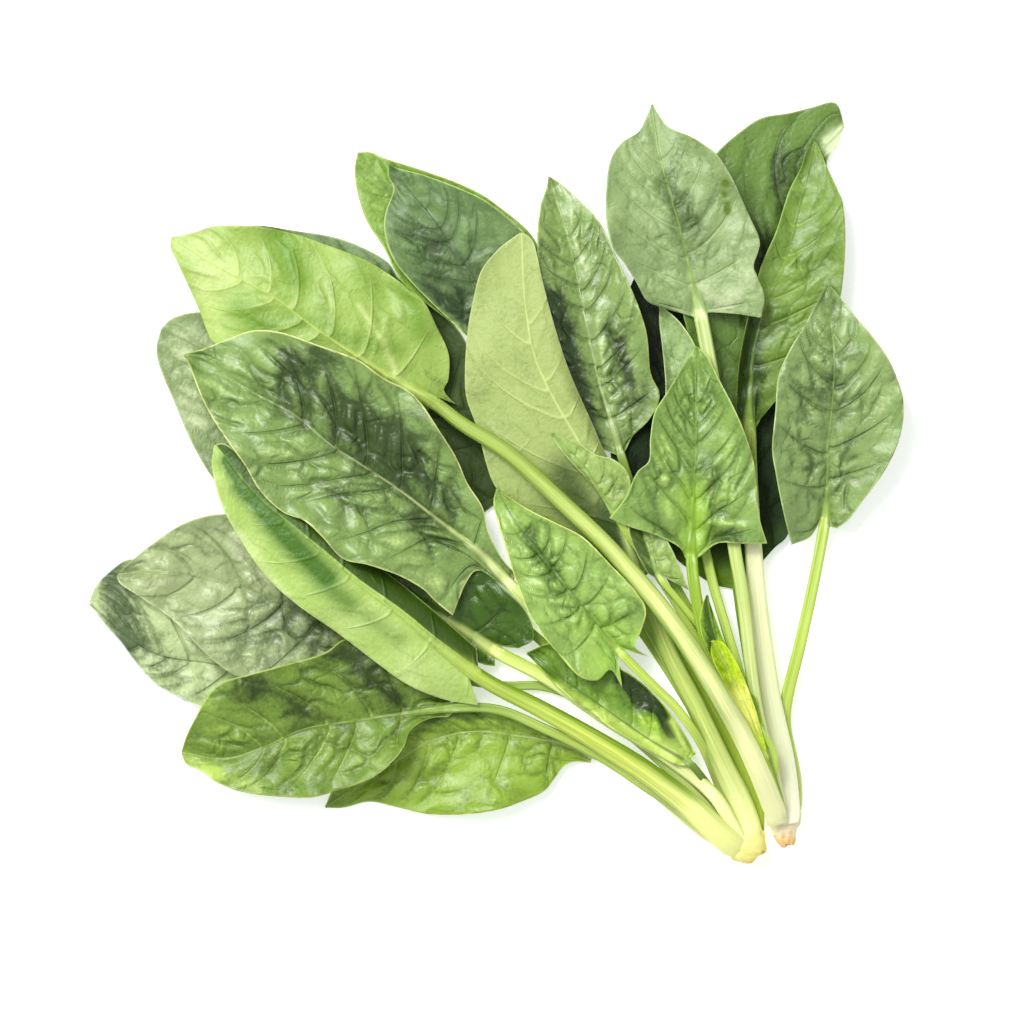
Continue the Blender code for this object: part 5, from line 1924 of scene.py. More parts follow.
@dataclass
class Crown:
    """The foot of a plant, where its stalks grow together above the cut root.

    top_share is how high its upper half stands against its lower half.
    """

    name: str
    plant: Plant
    rings: tuple[CrownRing, ...]
    finish: CrownFinish
    lobes: int = 5
    lobe_depth: float = 0.12
    ragged: float = 0.35
    top_share: float = 0.5
    sides: int = 72
    rows: int = 46

    def points(self) -> tuple[Grid, Grid, Grid]:
        """Shape the crown's skin.

        Returns:
            Its points, the share along it and the angle round it of each.
        """
        rng = np.random.default_rng(len(self.name))
        table = np.array([(r.distance, r.half_width, r.half_height, r.side) for r in self.rings])
        share = np.linspace(0.0, 1.0, self.rows)[:, None]
        angle = np.linspace(0.0, 2 * math.pi, self.sides + 1)[None, :]
        along, wide, high, side = smooth_read(table, share[:, 0]).T[..., None]
        fade, twist = (1 - share) ** LOBE_FADE, LOBE_TWIST * share
        lobe = np.abs(np.cos(self.lobes * (angle + twist) / 2)) ** LOBE_POWER
        swell = 1 + self.lobe_depth * fade * lobe - self.lobe_depth * LOBE_SINK
        x, y = SKIN_RADIUS * np.cos(angle), SKIN_RADIUS * np.sin(angle)
        x, y, share = np.broadcast_arrays(x, y, share)
        rough = ripples(x, y + SKIN_STRETCH * along, SKIN_WAVE, rng)
        swell = swell + self.ragged * SKIN_ROUGH * rough * (SKIN_ROUGH_AT_STALKS + share)
        across = side + wide * swell * np.cos(angle)
        upward = np.where(np.sin(angle) > 0, self.top_share, 1.0)
        up = CROWN_RISE + high * swell * upward * np.sin(angle)
        ahead = along + self.ragged * ripples(x, y, END_WAVE, rng) * share**2
        front, heading = CROWN_AXES[self.plant]
        line = np.array(heading) / np.linalg.norm(heading)
        left = np.array([-line[1], line[0]])
        plan = np.array(front) + ahead[..., None] * line + across[..., None] * left + BOARD_SHIFT
        skin = np.concatenate([plan, np.maximum(up, LOWEST)[..., None]], axis=-1)
        return skin, share, np.broadcast_to(angle, share.shape)

    def build(self, dyer: Dyer) -> Thing:
        """Make the crown's mesh and dress it.

        Args:
            dyer: Makes its material.

        Returns:
            The finished piece.
        """
        skin, share, angle = self.points()
        back, front = (self.dish(ring) for ring in (skin[0], skin[-1]))
        whole = np.concatenate([back[::-1], skin, front])
        lead = np.zeros((len(back), skin.shape[1]))
        along = np.concatenate([lead, share, lead + 1.0])
        turn = np.concatenate([lead + angle[:1], angle, lead + angle[:1]])
        x, y = SKIN_RADIUS * np.cos(turn), SKIN_RADIUS * np.sin(turn)
        places = {"leaf_place": whole, "stalk_place": stack_places(along * FIBRE_LENGTH, x, y)}
        cloth = MeshCloth()
        cloth.skin(cloth.add_points(whole, {"along": along}, places))
        return cloth.make(f"{self.name}_skin", dyer.crown(self.name, self.finish))

    @staticmethod
    def dish(ring: Grid) -> Grid:
        """Close an end with rings that shrink to its middle.

        Args:
            ring: The points at the end.

        Returns:
            The points of the rings, from the outermost in.
        """
        centre = ring.mean(axis=0)
        shrink = np.linspace(1.0, DISH_EYE, DISH_RINGS)[1:, None, None]
        dish = centre + (ring - centre) * shrink
        dish[..., 2] += DISH_ROUGH * np.random.default_rng(DISH_SEED).normal(size=dish.shape[:2])
        return dish


# -- Sizes and finishes of this bunch ----------------------------------

# Blades.
FAR_LEFT_BLADE = BladeFinish(
    body=(191, 210, 148), shade=(89, 108, 67), bloom=(251, 251, 251), vein=(125, 149, 93),
    rim=(251, 251, 251), crease=0.4, roughness=0.4,
)
SHEEN_BLADE = BladeFinish(
    body=(165, 182, 124), shade=(86, 105, 62), bloom=(230, 233, 197), vein=(104, 126, 75),
    rim=(212, 219, 161), crease=0.4, roughness=0.38, gloss=0.3,
)
LOWER_LEFT_BLADE = BladeFinish(
    body=(113, 144, 50), shade=(50, 71, 10), bloom=(178, 205, 89), vein=(186, 207, 99), rim=(197, 218, 102),
)
BOTTOM_BLADE = BladeFinish(
    body=(141, 174, 52), shade=(74, 102, 18), bloom=(183, 208, 89), vein=(179, 204, 89), rim=(179, 205, 83),
)
# Its shade and spot colours paint the trough along the midrib dark: painted shade.
FOLDED_BLADE = BladeFinish(
    body=(171, 201, 100), shade=(58, 86, 13), bloom=(206, 226, 148), vein=(194, 215, 125),
    rim=(202, 221, 135), mark=(66, 110, 0), dome_tone=0.04, net=0.05, side_vein=0.35, roughness=0.46,
    gloss=0.12, crease=-0.25,
)
LARGE_DARK_BLADE = BladeFinish(
    body=(130, 159, 83), shade=(57, 78, 30), bloom=(224, 245, 154), vein=(89, 117, 47), rim=(249, 251, 154),
    roughness=0.38, gloss=0.3, crease=0.45,
)
LARGE_PALE_BLADE = BladeFinish(
    body=(155, 184, 85), shade=(88, 115, 35), bloom=(194, 212, 129), vein=(192, 211, 118),
    rim=(178, 200, 98), mark=(96, 142, 15), dome_tone=0.06, net=0.06, side_vein=0.7, roughness=0.46,
    gloss=0.12, crease=-0.3,
)
UNDER_PALE_BLADE = BladeFinish(
    body=(138, 163, 111), shade=(59, 81, 28), bloom=(182, 201, 153), vein=(136, 160, 109),
    rim=(169, 191, 136), gloss=0.02, roughness=0.65, net=0.0, wrinkle=0.2,
)
LEFT_BACK_BLADE = BladeFinish(
    body=(136, 157, 102), shade=(72, 91, 49), bloom=(208, 220, 167), vein=(183, 201, 142),
    rim=(204, 215, 152),
)
GREY_GREEN_BLADE = BladeFinish(
    body=(109, 137, 80), shade=(52, 72, 36), bloom=(151, 178, 102), vein=(65, 93, 50), rim=(198, 223, 121),
    roughness=0.5, gloss=0.15,
)
BRIGHT_BACK_BLADE = BladeFinish(
    body=(136, 172, 70), shade=(70, 99, 32), bloom=(173, 205, 96), vein=(160, 195, 89), rim=(173, 203, 92),
)
# Its spot colour paints the lower blade dark where it lies in the shadow of the leaves over it: painted
# shadow.
PALE_CENTRE_BLADE = BladeFinish(
    body=(166, 185, 106), shade=(101, 120, 55), bloom=(193, 207, 141), vein=(198, 210, 129),
    rim=(205, 213, 145), mark=(44, 70, 12), dome_tone=0.0, net=0.05, side_vein=0.75, roughness=0.55,
    gloss=0.05, crease=-0.25,
)
RIDGED_BLADE = BladeFinish(
    body=(138, 165, 90), shade=(44, 63, 22), bloom=(230, 238, 180), vein=(66, 93, 35), rim=(186, 210, 114),
    crease=0.45, roughness=0.34, gloss=0.4, dome_tone=0.12,
)
HOLED_BLADE = BladeFinish(
    body=(142, 167, 105), shade=(72, 96, 41), bloom=(204, 215, 168), vein=(179, 193, 136),
    rim=(183, 199, 136), mark=(92, 118, 26), gloss=0.1, dome_tone=0.1,
)
BACK_RIGHT_BLADE = BladeFinish(
    body=(105, 137, 57), shade=(38, 60, 15), bloom=(144, 177, 90), vein=(113, 147, 64), rim=(145, 173, 78),
    mark=(210, 226, 172),
)
FRONT_RIGHT_BLADE = BladeFinish(
    body=(120, 152, 60), shade=(48, 72, 16), bloom=(156, 184, 87), vein=(150, 178, 74), rim=(158, 185, 81),
    dome_tone=0.16,
)
# Greens as dark as the leaf shows in the shadow of the leaves over it: painted shadow.
SHADOWED_CENTRE_BLADE = BladeFinish(
    body=(26, 53, 3), shade=(6, 19, 1), bloom=(47, 80, 14), vein=(41, 70, 8), rim=(54, 89, 16),
    mark=(108, 142, 24), gloss=0.0, roughness=0.7, net=0.0, wrinkle=0.2,
)
RIGHT_BLADE = BladeFinish(
    body=(140, 167, 96), shade=(65, 87, 39), bloom=(205, 223, 158), vein=(92, 120, 53), rim=(193, 214, 139),
    crease=0.45, roughness=0.36, gloss=0.32,
)
ARROW_BLADE = BladeFinish(
    body=(138, 172, 82), shade=(67, 94, 29), bloom=(203, 232, 122), vein=(85, 123, 43), rim=(203, 229, 127),
    mark=(163, 209, 57), roughness=0.38, gloss=0.3, crease=0.4,
)
BEHIND_BLADE = BladeFinish(
    body=(173, 200, 133), shade=(96, 121, 61), bloom=(221, 237, 174), vein=(203, 221, 158),
    rim=(214, 231, 151),
)
SMALL_CENTRE_BLADE = BladeFinish(
    body=(155, 190, 92), shade=(74, 105, 32), bloom=(251, 251, 146), vein=(95, 134, 41),
    rim=(244, 251, 122), mark=(164, 206, 84), roughness=0.38, gloss=0.3, crease=0.4,
)
YOUNG_BLADE = BladeFinish(
    body=(161, 189, 100), shade=(80, 104, 42), bloom=(205, 223, 136), vein=(197, 214, 127),
    rim=(201, 218, 127),
)
# Greens as dark as the narrow leaf shows in the shadow of the leaves over it: painted shadow.
SHADOWED_NARROW_BLADE = BladeFinish(
    body=(61, 97, 3), shade=(23, 45, 0), bloom=(93, 138, 12), vein=(82, 122, 7), rim=(134, 180, 16),
    gloss=0.35, roughness=0.36,
)
HEART_LEFT_BLADE = BladeFinish(
    body=(108, 148, 38), shade=(38, 61, 5), bloom=(203, 243, 81), vein=(153, 196, 54), rim=(210, 244, 69),
    mark=(206, 230, 112), roughness=0.4, gloss=0.3, net=0.0,
)
HEART_GREEN_BLADE = BladeFinish(
    body=(146, 188, 48), shade=(72, 103, 12), bloom=(198, 236, 82), vein=(184, 220, 70), rim=(196, 228, 84),
)
HEART_LIME_BLADE = BladeFinish(
    body=(208, 240, 38), shade=(131, 161, 13), bloom=(251, 251, 61), vein=(231, 245, 49),
    rim=(226, 245, 52), mark=(240, 242, 120), net=0.15,
)
# Stalks.
LIME_STALK = StalkFinish(
    crown_end=(250, 253, 160), middle=(230, 244, 112), blade_end=(190, 212, 90), groove=(116, 150, 16),
    rib=(190, 214, 96), green_to=0.9, left_side=0.15, right_side=0.8,
)
BIG_STALK = StalkFinish(
    crown_end=(251, 252, 186), middle=(238, 248, 152), blade_end=(178, 202, 94), groove=(120, 152, 36),
    rib=(206, 226, 116), green_from=0.4, green_to=0.88, grooving=0.15, left_side=0.55, right_side=0.5,
)
SHADED_STALK = StalkFinish(
    crown_end=(190, 212, 70), middle=(132, 162, 14), blade_end=(120, 150, 60), groove=(92, 122, 4),
    rib=(62, 90, 50), green_from=0.3, green_to=0.7, grooving=0.35,
)
RUNNING_STALK = StalkFinish(
    crown_end=(252, 252, 180), middle=(250, 253, 184), blade_end=(230, 243, 136), groove=(170, 200, 50),
    rib=(180, 198, 112), green_from=0.55, grooving=0.15, left_side=0.1, right_side=0.6,
)
WIDE_STALK = StalkFinish(
    crown_end=(246, 250, 188), middle=(226, 240, 152), blade_end=(222, 236, 170), groove=(160, 188, 76),
    rib=(140, 176, 62), grooving=0.5,
)
CREAM_STALK = StalkFinish(
    crown_end=(253, 253, 222), middle=(254, 254, 210), blade_end=(146, 178, 60), groove=(216, 230, 120),
    rib=(136, 172, 62), green_from=0.72, green_to=0.92, grooving=0.1, left_side=0.1, right_side=0.15,
)
STOUT_STALK = StalkFinish(
    crown_end=(251, 251, 186), middle=(244, 250, 170), blade_end=(226, 236, 160), groove=(178, 200, 80),
    rib=(212, 226, 142),
)
SEAM_STALK = StalkFinish(
    crown_end=(224, 236, 150), middle=(188, 212, 90), blade_end=(150, 176, 84), groove=(116, 150, 40),
    rib=(192, 208, 146), green_from=0.4, green_to=0.85,
)
DEEP_STALK = StalkFinish(
    crown_end=(226, 238, 150), middle=(200, 222, 90), blade_end=(152, 188, 46), groove=(140, 176, 40),
    rib=(124, 164, 48),
)
PALE_STALK = StalkFinish(
    crown_end=(251, 251, 186), middle=(240, 249, 156), blade_end=(206, 226, 122), groove=(178, 200, 80),
    rib=(180, 198, 112),
)
LEAN_STALK = StalkFinish(
    crown_end=(240, 246, 164), middle=(206, 226, 110), blade_end=(150, 180, 80), groove=(120, 152, 44),
    rib=(168, 196, 96), left_side=0.4,
)
FLUTED_STALK = StalkFinish(
    crown_end=(246, 251, 170), middle=(226, 240, 134), blade_end=(146, 168, 84), groove=(122, 154, 36),
    rib=(214, 232, 146), left_side=0.5, right_side=0.25,
)
GREEN_STALK = StalkFinish(
    crown_end=(226, 238, 150), middle=(208, 230, 104), blade_end=(202, 226, 108), groove=(156, 188, 56),
    rib=(140, 176, 72),
)
SOFT_STALK = StalkFinish(
    crown_end=(240, 246, 164), middle=(214, 232, 112), blade_end=(196, 220, 92), groove=(152, 184, 52),
    rib=(92, 128, 46),
)
DARK_STALK = StalkFinish(
    crown_end=(224, 236, 150), middle=(188, 212, 90), blade_end=(110, 140, 48), groove=(116, 150, 40),
    rib=(64, 92, 34), green_from=0.4, green_to=0.85,
)
GREY_STALK = StalkFinish(
    crown_end=(222, 236, 150), middle=(176, 204, 92), blade_end=(142, 168, 88), groove=(124, 156, 56),
    rib=(122, 150, 78),
)

# Every leaf, from the floor up.
LEAVES = (
    Leaf(
        name="leaf_left_back", slot="leaf_mid", plant=Plant.LEFT, stalk_height=1.8,
        stalk=((82.5, -117.5), (64.5, -100.5), (41, -77), (18, -55.5), (-5.5, -35.5), (-32, -12.5)),
        rib=((-49, 1.5), (-69, 19.5), (-85.5, 35.5), (-102, 46.5), (-112, 51.5)),
        left=(
            (-37, -21.5), (-52, -20.5), (-69, -13.5), (-82, -7), (-93, 0), (-99, 8.5), (-104, 18.5),
            (-108, 28), (-112, 37.5), (-113.5, 44.5),
        ),
        right=((-29, -3.5), (-35.5, 11.5), (-49, 28), (-65.5, 44.5), (-82, 54), (-97, 57), (-107, 55.5)),
        blade_finish=LEFT_BACK_BLADE, stalk_finish=GREY_STALK, quilt=0.35, roll=0.6, ruffle=0.4, veins=5,
        streaks=(Streak((-105.5, 48), (-100.5, 21.5), 6, tone=0.5),),
    ),
    Leaf(
        name="leaf_under_pale", slot="leaf_dark", plant=Plant.LEFT, stalk_height=1.8,
        stalk=((85, -115.5), (72, -87), (53, -55.5), (34.5, -32), (18, -15.5), (5, -3.5)),
        rib=((-2, 6.5), (-17, 26.5), (-32, 44.5), (-49, 61.5), (-65.5, 74.5), (-85.5, 85.5)),
        left=((-6, -12), (-19, 1.5), (-32, 14.5), (-52, 34.5), (-69, 51.5), (-82, 68), (-86, 79.5)),
        right=(
            (11, 4.5), (1, 18), (-5.5, 31.5), (-9.5, 46.5), (-19, 58), (-31.5, 67.5), (-37, 74.5),
            (-52, 81.5), (-69, 84.5), (-79, 86),
        ),
        blade_finish=UNDER_PALE_BLADE, stalk_finish=DARK_STALK, quilt=0.4, roll=0.5,
        streaks=(
            # Both streaks darken the blade where it lies in the shadow of the leaves over it: painted
            # shadow.
            Streak((-22, 61.5), (-15.5, 14.5), 14, tone=-1.7),
            Streak((-15.5, 11.5), (-2, -5.5), 22, tone=-2.0),
        ),
    ),
    Leaf(
        name="leaf_far_left", slot="leaf_dark", plant=Plant.LEFT, stalk_height=1.9,
        stalk=((79.5, -119.5), (68, -109.5), (48, -97), (21, -87), (-9, -77), (-39, -70.5), (-65.5, -68.5)),
        rib=((-94, -61), (-112, -58), (-124, -51), (-136, -40.5)),
        left=(
            (-69, -76), (-84, -77.5), (-97, -75.5), (-105.5, -72), (-115.5, -66), (-125.5, -53.5),
            (-132, -46.5),
        ),
        right=(
            (-69, -60.5), (-82, -48.5), (-99, -35.5), (-112, -27), (-122, -25.5), (-130.5, -31),
            (-134.5, -36),
        ),
        blade_finish=FAR_LEFT_BLADE, stalk_finish=DARK_STALK, rib_strength=0.75, rib_fade=0.2, quilt=0.7,
        quilt_size=7.5, roll=1.0, ruffle=0.9, veins=6,
        streaks=(
            Streak((-134, -33.5), (-135, -42), 2.0, tone=0.4, lift=0.3),
            Streak((-120.5, -28.5), (-102, -52), 5, tone=0.35, lift=0.6),
            Streak((-128, -29.5), (-123, -52), 6, tone=-0.8),
            Streak((-115.5, -58.5), (-99, -72), 7, tone=-0.2),
        ),
    ),
    Leaf(
        name="leaf_left_sheen", slot="leaf_mid", plant=Plant.LEFT, stalk_height=1.9,
        stalk=(
            (79.5, -119.5), (68, -105.5), (48, -87), (31, -74.5), (17, -68.5), (1, -68), (-15.5, -64.5),
            (-37, -54.5),
        ),
        rib=((-52, -47), (-65.5, -41), (-79, -37.5), (-94, -33), (-109, -30), (-126.5, -31)),
        left=(
            (-41.5, -61.5), (-55.5, -68.5), (-72, -69.5), (-86.5, -64.5), (-97, -56.5), (-107, -46.5),
            (-119, -38), (-125, -34),
        ),
        right=(
            (-37, -45.5), (-45.5, -30.5), (-59, -17), (-72, -11.5), (-89.5, -10.5), (-99, -12),
            (-107, -15.5), (-115.5, -21.5), (-122, -27),
        ),
        blade_finish=SHEEN_BLADE, stalk_finish=GREY_STALK, rib_strength=0.55, quilt_size=8.5, roll=1.1,
        ruffle=0.8, veins=5,
        streaks=(
            Streak((-85.5, -18.5), (-77, -32), 6, tone=0.5),
            Streak((-90.5, -38.5), (-65.5, -28.5), 6, tone=0.25),
            Streak((-115.5, -25.5), (-95.5, -45.5), 7, tone=0.2),
            Streak((-89, -48.5), (-55.5, -52), 9, tone=-0.3, pucker=0.6),
            Streak((-75.5, -37), (-55.5, -47), 7, tone=-0.35, pucker=0.6),
        ),
    ),
    Leaf(
        name="leaf_bottom", slot="leaf_mid", plant=Plant.LEFT, base_width=3.6, stalk_height=2.2,
        stalk=((76.5, -122), (68, -116), (53, -103.5), (41, -95.5), (33, -91)),
        rib=((21, -87), (8, -85), (-7, -83.5), (-22, -87), (-37, -96), (-57, -109)),
        left=(
            (32, -94), (27, -93.5), (23, -95), (20, -99), (16, -103.5), (8, -107), (-0.5, -109.5),
            (-12, -111), (-22, -111), (-32, -109), (-42, -107), (-50.5, -109),
        ),
        right=(
            (29.5, -87.5), (14.5, -82), (1, -77), (-9, -73.5), (-22, -75.5), (-35.5, -83.5), (-47, -93.5),
            (-54, -102.5),
        ),
        blade_finish=BOTTOM_BLADE, stalk_finish=PALE_STALK, quilt=0.5, quilt_size=7.5, roll=0.9, ruffle=0.7,
        veins=6,
        streaks=(Streak((-32, -80.5), (-9, -76), 6, tone=-0.5),),
    ),
    Leaf(
        name="leaf_lower_left", slot="leaf_mid", plant=Plant.LEFT, base_width=3.6, neck_width=3.2,
        stalk_height=2.2,
        stalk=((76.5, -122), (68, -113.5), (51, -102), (34.5, -91), (16, -82), (1, -76), (-14, -75.5)),
        rib=((-32, -77.5), (-49, -80), (-64, -82.5), (-77, -88.5), (-90.5, -92.5), (-105, -90.5)),
        left=(
            (-15.5, -78.5), (-22, -79), (-28, -82.5), (-30.5, -88.5), (-35.5, -94.5), (-42, -99),
            (-52, -102.5), (-62, -105), (-75.5, -104.5), (-85.5, -103), (-93, -100), (-98, -96.5),
            (-103, -94.5),
        ),
        right=(
            (-16, -72.5), (-21.5, -70.5), (-27, -67), (-35.5, -57), (-44, -52), (-50.5, -52.5), (-57, -57),
            (-69, -60.5), (-82, -64), (-90.5, -66.5), (-95, -70.5), (-99.5, -78), (-103, -84.5),
        ),
        blade_finish=LOWER_LEFT_BLADE, stalk_finish=LEAN_STALK, rib_strength=0.7, rib_power=8.0, quilt=0.75,
        quilt_size=8.0, roll=1.2, ruffle=0.9, veins=6, vein_lift=0.4,
        streaks=(
            Streak((-103.5, -91.5), (-94, -97), 3, tone=0.8, lift=0.8),
            Streak((-94, -97), (-79, -102), 2.5, tone=0.6, lift=0.6),
            Streak((-99, -72), (-90.5, -82), 6, tone=0.45),
            Streak((-85.5, -62), (-55.5, -60.5), 7, tone=-0.2, pucker=0.6),
            Streak((-49, -55.5), (-34, -72), 6, tone=-0.7),
            Streak((-82, -68.5), (-65.5, -78.5), 5, tone=-0.5),
            Streak((-65.5, -92), (-39, -95.5), 7, tone=0.2, pucker=0.5),
        ),
    ),
    Leaf(
        name="leaf_bright_back", slot="leaf_mid", plant=Plant.LEFT, stalk_height=1.8,
        stalk=((82.5, -117), (77, -97), (64, -72), (45, -37), (26, -0.5), (11, 28), (1, 48)),
        rib=((-9, 63), (-20.5, 78), (-32, 93), (-46, 110.5)),
        left=(
            (-6, 46.5), (-15.5, 54), (-24, 60.5), (-32, 68), (-37, 78), (-43, 87.5), (-46, 96.5),
            (-47, 104.5),
        ),
        right=(
            (11, 54.5), (16, 68), (13, 81.5), (1, 92.5), (-9, 98.5), (-22, 103.5), (-35.5, 108),
            (-41.5, 110.5),
        ),
        blade_finish=BRIGHT_BACK_BLADE, stalk_finish=GREY_STALK, quilt=0.35, roll=0.6,
    ),
    Leaf(
        name="leaf_grey_green", slot="leaf_dark", plant=Plant.LEFT, base_width=4.4, stalk_height=2.4,
        stalk=(
            (89, -112), (87, -103), (83, -94.5), (76.5, -82.5), (70, -71), (56, -47), (36, -8.5),
            (16, 21.5), (1, 46.5),
        ),
        rib=((-6, 66.5), (-14, 78), (-22, 89.5), (-29, 98), (-35.5, 106)),
        left=(
            (-7, 46.5), (-14, 53), (-22, 60.5), (-30.5, 69.5), (-35, 76.5), (-37, 84.5), (-36.5, 90.5),
            (-34, 98), (-36, 102.5),
        ),
        right=(
            (11, 51.5), (17, 64.5), (16, 74.5), (9.5, 83.5), (-2, 93), (-12, 98), (-22, 102),
            (-30.5, 104.5),
        ),
        blade_finish=GREY_GREEN_BLADE, stalk_finish=SHADED_STALK, perch=-0.8, base_swell=1.3,
        rib_strength=0.8, rib_fade=0.3, quilt=0.7, quilt_size=8.0, roll=1.0,
        streaks=(
            Streak((-25.5, 83), (-9, 73), 6, tone=-0.3), Streak((-19, 94.5), (1, 78), 8, tone=0.15),
            Streak((-22, 61.5), (-7, 53), 8, tone=-0.6), Streak((-24, 60.5), (-7, 48), 1.6, tone=1.4),
        ),
    ),
    Leaf(
        name="leaf_dark_centre", slot="leaf_dark", plant=Plant.RIGHT, stalk_height=1.8,
        stalk=((95, -109.5), (92.5, -93.5), (87, -72), (83.5, -52), (81, -35.5)),
        rib=((78, -12), (73, 18), (68, 38), (61, 54.5), (48, 71.5)),
        left=(
            (73, -34.5), (61, -26), (49.5, -13.5), (40.5, 0.5), (38.5, 14.5), (39.5, 31.5), (42, 48),
            (44, 61.5),
        ),
        right=(
            (85, -32), (93, -22.5), (98, -17.5), (101, -5.5), (101, 11.5), (98, 28), (91, 44.5), (81, 58),
            (68, 68), (54.5, 72),
        ),
        blade_finish=SHADOWED_CENTRE_BLADE, stalk_finish=DARK_STALK, quilt=0.4, roll=0.5, left_tone=-0.4,
        right_tone=-0.1,
        streaks=(
            Streak((66, -31.5), (86, -35.5), 9, spot=0.8), Streak((89.5, -25.5), (98, -15.5), 5, tone=0.8),
        ),
    ),
    Leaf(
        name="leaf_ridged", slot="leaf_dark", plant=Plant.RIGHT, stalk_height=1.9,
        stalk=(
            (91, -109.5), (88, -93.5), (80, -72), (73, -57), (64.5, -42), (54.5, -23.5), (48, -8.5),
            (42, 9.5),
        ),
        rib=((38.5, 21.5), (35, 33), (32, 46.5), (29, 61.5), (25.5, 78), (22, 90.5), (18, 102.5)),
        left=((34.5, 11.5), (28, 21.5), (22, 34.5), (17, 51.5), (15, 68), (14, 79.5), (15, 91.5), (17, 98)),
        right=(
            (46, 15.5), (52, 21.5), (55, 29), (52, 36.5), (50.5, 49.5), (47, 60.5), (43, 69.5),
            (38.5, 79.5), (34.5, 87.5), (28, 94.5), (22, 100),
        ),
        blade_finish=RIDGED_BLADE, stalk_finish=SEAM_STALK, perch=-1.5, rib_fade=0.75, rib_strength=0.8,
        rib_power=8.0, quilt=0.85, quilt_size=6.0, roll=0.8, veins=9, vein_lift=0.35,
        streaks=(
            # The long dark streaks paint shade along the midrib, the thin lifted pale ones painted
            # highlights on ridges.
            Streak((20.5, 61.5), (32, 14.5), 4, tone=-0.8, pucker=0.6),
            Streak((34.5, 64.5), (48, 21.5), 6, tone=-0.1),
            Streak((26.5, 81.5), (30, 71.5), 1.0, tone=0.5, lift=0.25),
            Streak((18.5, 74), (20, 64.5), 0.9, tone=0.5, lift=0.2),
            Streak((34, 54.5), (36.5, 38), 0.9, tone=0.5, lift=0.2),
            Streak((36.5, 36.5), (40.5, 21.5), 0.9, tone=0.3, lift=0.2),
            Streak((45, 48), (48, 29.5), 1.2, tone=0.4, lift=0.2),
            Streak((23, 88), (34.5, 61.5), 5, tone=0.15), Streak((38.5, 51.5), (48, 28), 3, tone=-0.5),
            Streak((15, 78), (18, 51.5), 3, tone=-0.3),
        ),
    ),
    Leaf(
        name="leaf_back_right", slot="leaf_dark", plant=Plant.RIGHT, base_width=3.4, neck_width=3.2,
        stalk_height=2.0,
        stalk=((99, -109.5), (97, -93.5), (93.5, -72), (90.5, -52), (87, -32), (85, -12), (84, 17.5)),
        rib=((85, 33), (88, 51.5), (92, 71.5), (98, 89.5), (106, 106.5), (117, 119.5)),
        left=(
            (79.5, 22), (69.5, 38), (63, 54.5), (61, 71.5), (64.5, 89.5), (69.5, 103), (74.5, 110.5),
            (83, 118), (89.5, 122), (98, 123.5), (106, 125.5), (114, 127),
        ),
        right=((93, 28), (101, 41.5), (108, 58), (112, 74.5), (114, 91.5), (111, 106), (114.5, 113)),
        blade_finish=BACK_RIGHT_BLADE, stalk_finish=GREEN_STALK, quilt=0.25, quilt_size=10.0, roll=0.8,
        ruffle=0.4, veins=5, vein_lift=0.12,
        streaks=(
            Streak((96, 108), (99.5, 81.5), 6, tone=-0.4), Streak((79.5, 89.5), (89.5, 74.5), 7, tone=-0.5),
            Streak((95, 114.5), (90.5, 105.5), 1.0, tone=0.3, lift=0.2),
            Streak((90.5, 105.5), (89.5, 94.5), 1.0, tone=0.3, lift=0.2),
            Streak((89.5, 94.5), (94.5, 84), 1.0, tone=0.3, lift=0.2),
            Streak((81, 104.5), (84.5, 94.5), 5, tone=0.3),
            Streak((111, 114.5), (117, 118.5), 1.6, spot=1.2),
            Streak((112, 112), (114, 116), 2.4, spot=1.2),
        ),
    ),
    Leaf(
        name="leaf_front_right", slot="leaf_mid", plant=Plant.RIGHT, base_width=7.2, neck_width=4.4,
        stalk_height=3.4,
        stalk=((98, -109.5), (96, -93.5), (92, -73.5), (89.5, -55.5), (87, -32), (85.5, -5.5), (85, 18)),
        rib=((85.5, 33), (86.5, 44.5), (90.5, 59.5), (97, 74.5), (101, 89.5), (105, 104.5), (107, 114.5)),
        left=(
            (80.5, 22), (81, 38), (84, 54.5), (88.5, 71.5), (93.5, 83), (96, 90.5), (98.5, 98),
            (102, 104.5), (104, 110.5),
        ),
        right=(
            (89, 21.5), (96, 29.5), (104, 35.5), (110.5, 48), (115, 61.5), (116.5, 78), (116, 91.5),
            (114.5, 97), (111, 105.5), (109, 110.5),
        ),
        blade_finish=FRONT_RIGHT_BLADE, stalk_finish=CREAM_STALK, perch=4.2, base_swell=1.25, rib_fade=0.7,
        quilt_size=8.5, roll=1.1, ruffle=0.6, veins=6,
        streaks=(
            Streak((81, 54.5), (80.5, 28), 8, tone=-1.3),
            Streak((89.5, 61.5), (101, 73), 6, tone=0.4, lift=1.0),
            Streak((100, 64.5), (113, 70.5), 2.0, tone=0.3, lift=0.3),
        ),
    ),
    Leaf(
        name="leaf_pale_centre", slot="leaf_pale", plant=Plant.LEFT, face=Face.UNDER, base_width=6.4,
        neck_width=4.6, stalk_height=3.2,
        stalk=((85.5, -114.5), (82, -106.5), (77, -96.5), (68, -77), (58, -57), (50.5, -38.5), (48, -32)),
        rib=((40, -8), (28.5, 12.5), (19, 29), (13, 43), (10, 61.5), (9, 83.5)),
        left=(
            (34.5, -25.5), (21, -15.5), (8, -8), (-0.5, -0.5), (-6, 18), (-9.5, 28), (-10, 38), (-9, 51.5),
            (-7, 62), (-4.5, 70.5), (1, 77.5), (6, 81.5),
        ),
        right=(
            (53, -29.5), (50.5, -19.5), (44, -2.5), (37, 9.5), (32.5, 19.5), (25, 36.5), (20, 51.5),
            (16, 66.5), (13, 79.5),
        ),
        blade_finish=PALE_CENTRE_BLADE, stalk_finish=FLUTED_STALK, perch=1.4, base_swell=1.3, rib_power=5.0,
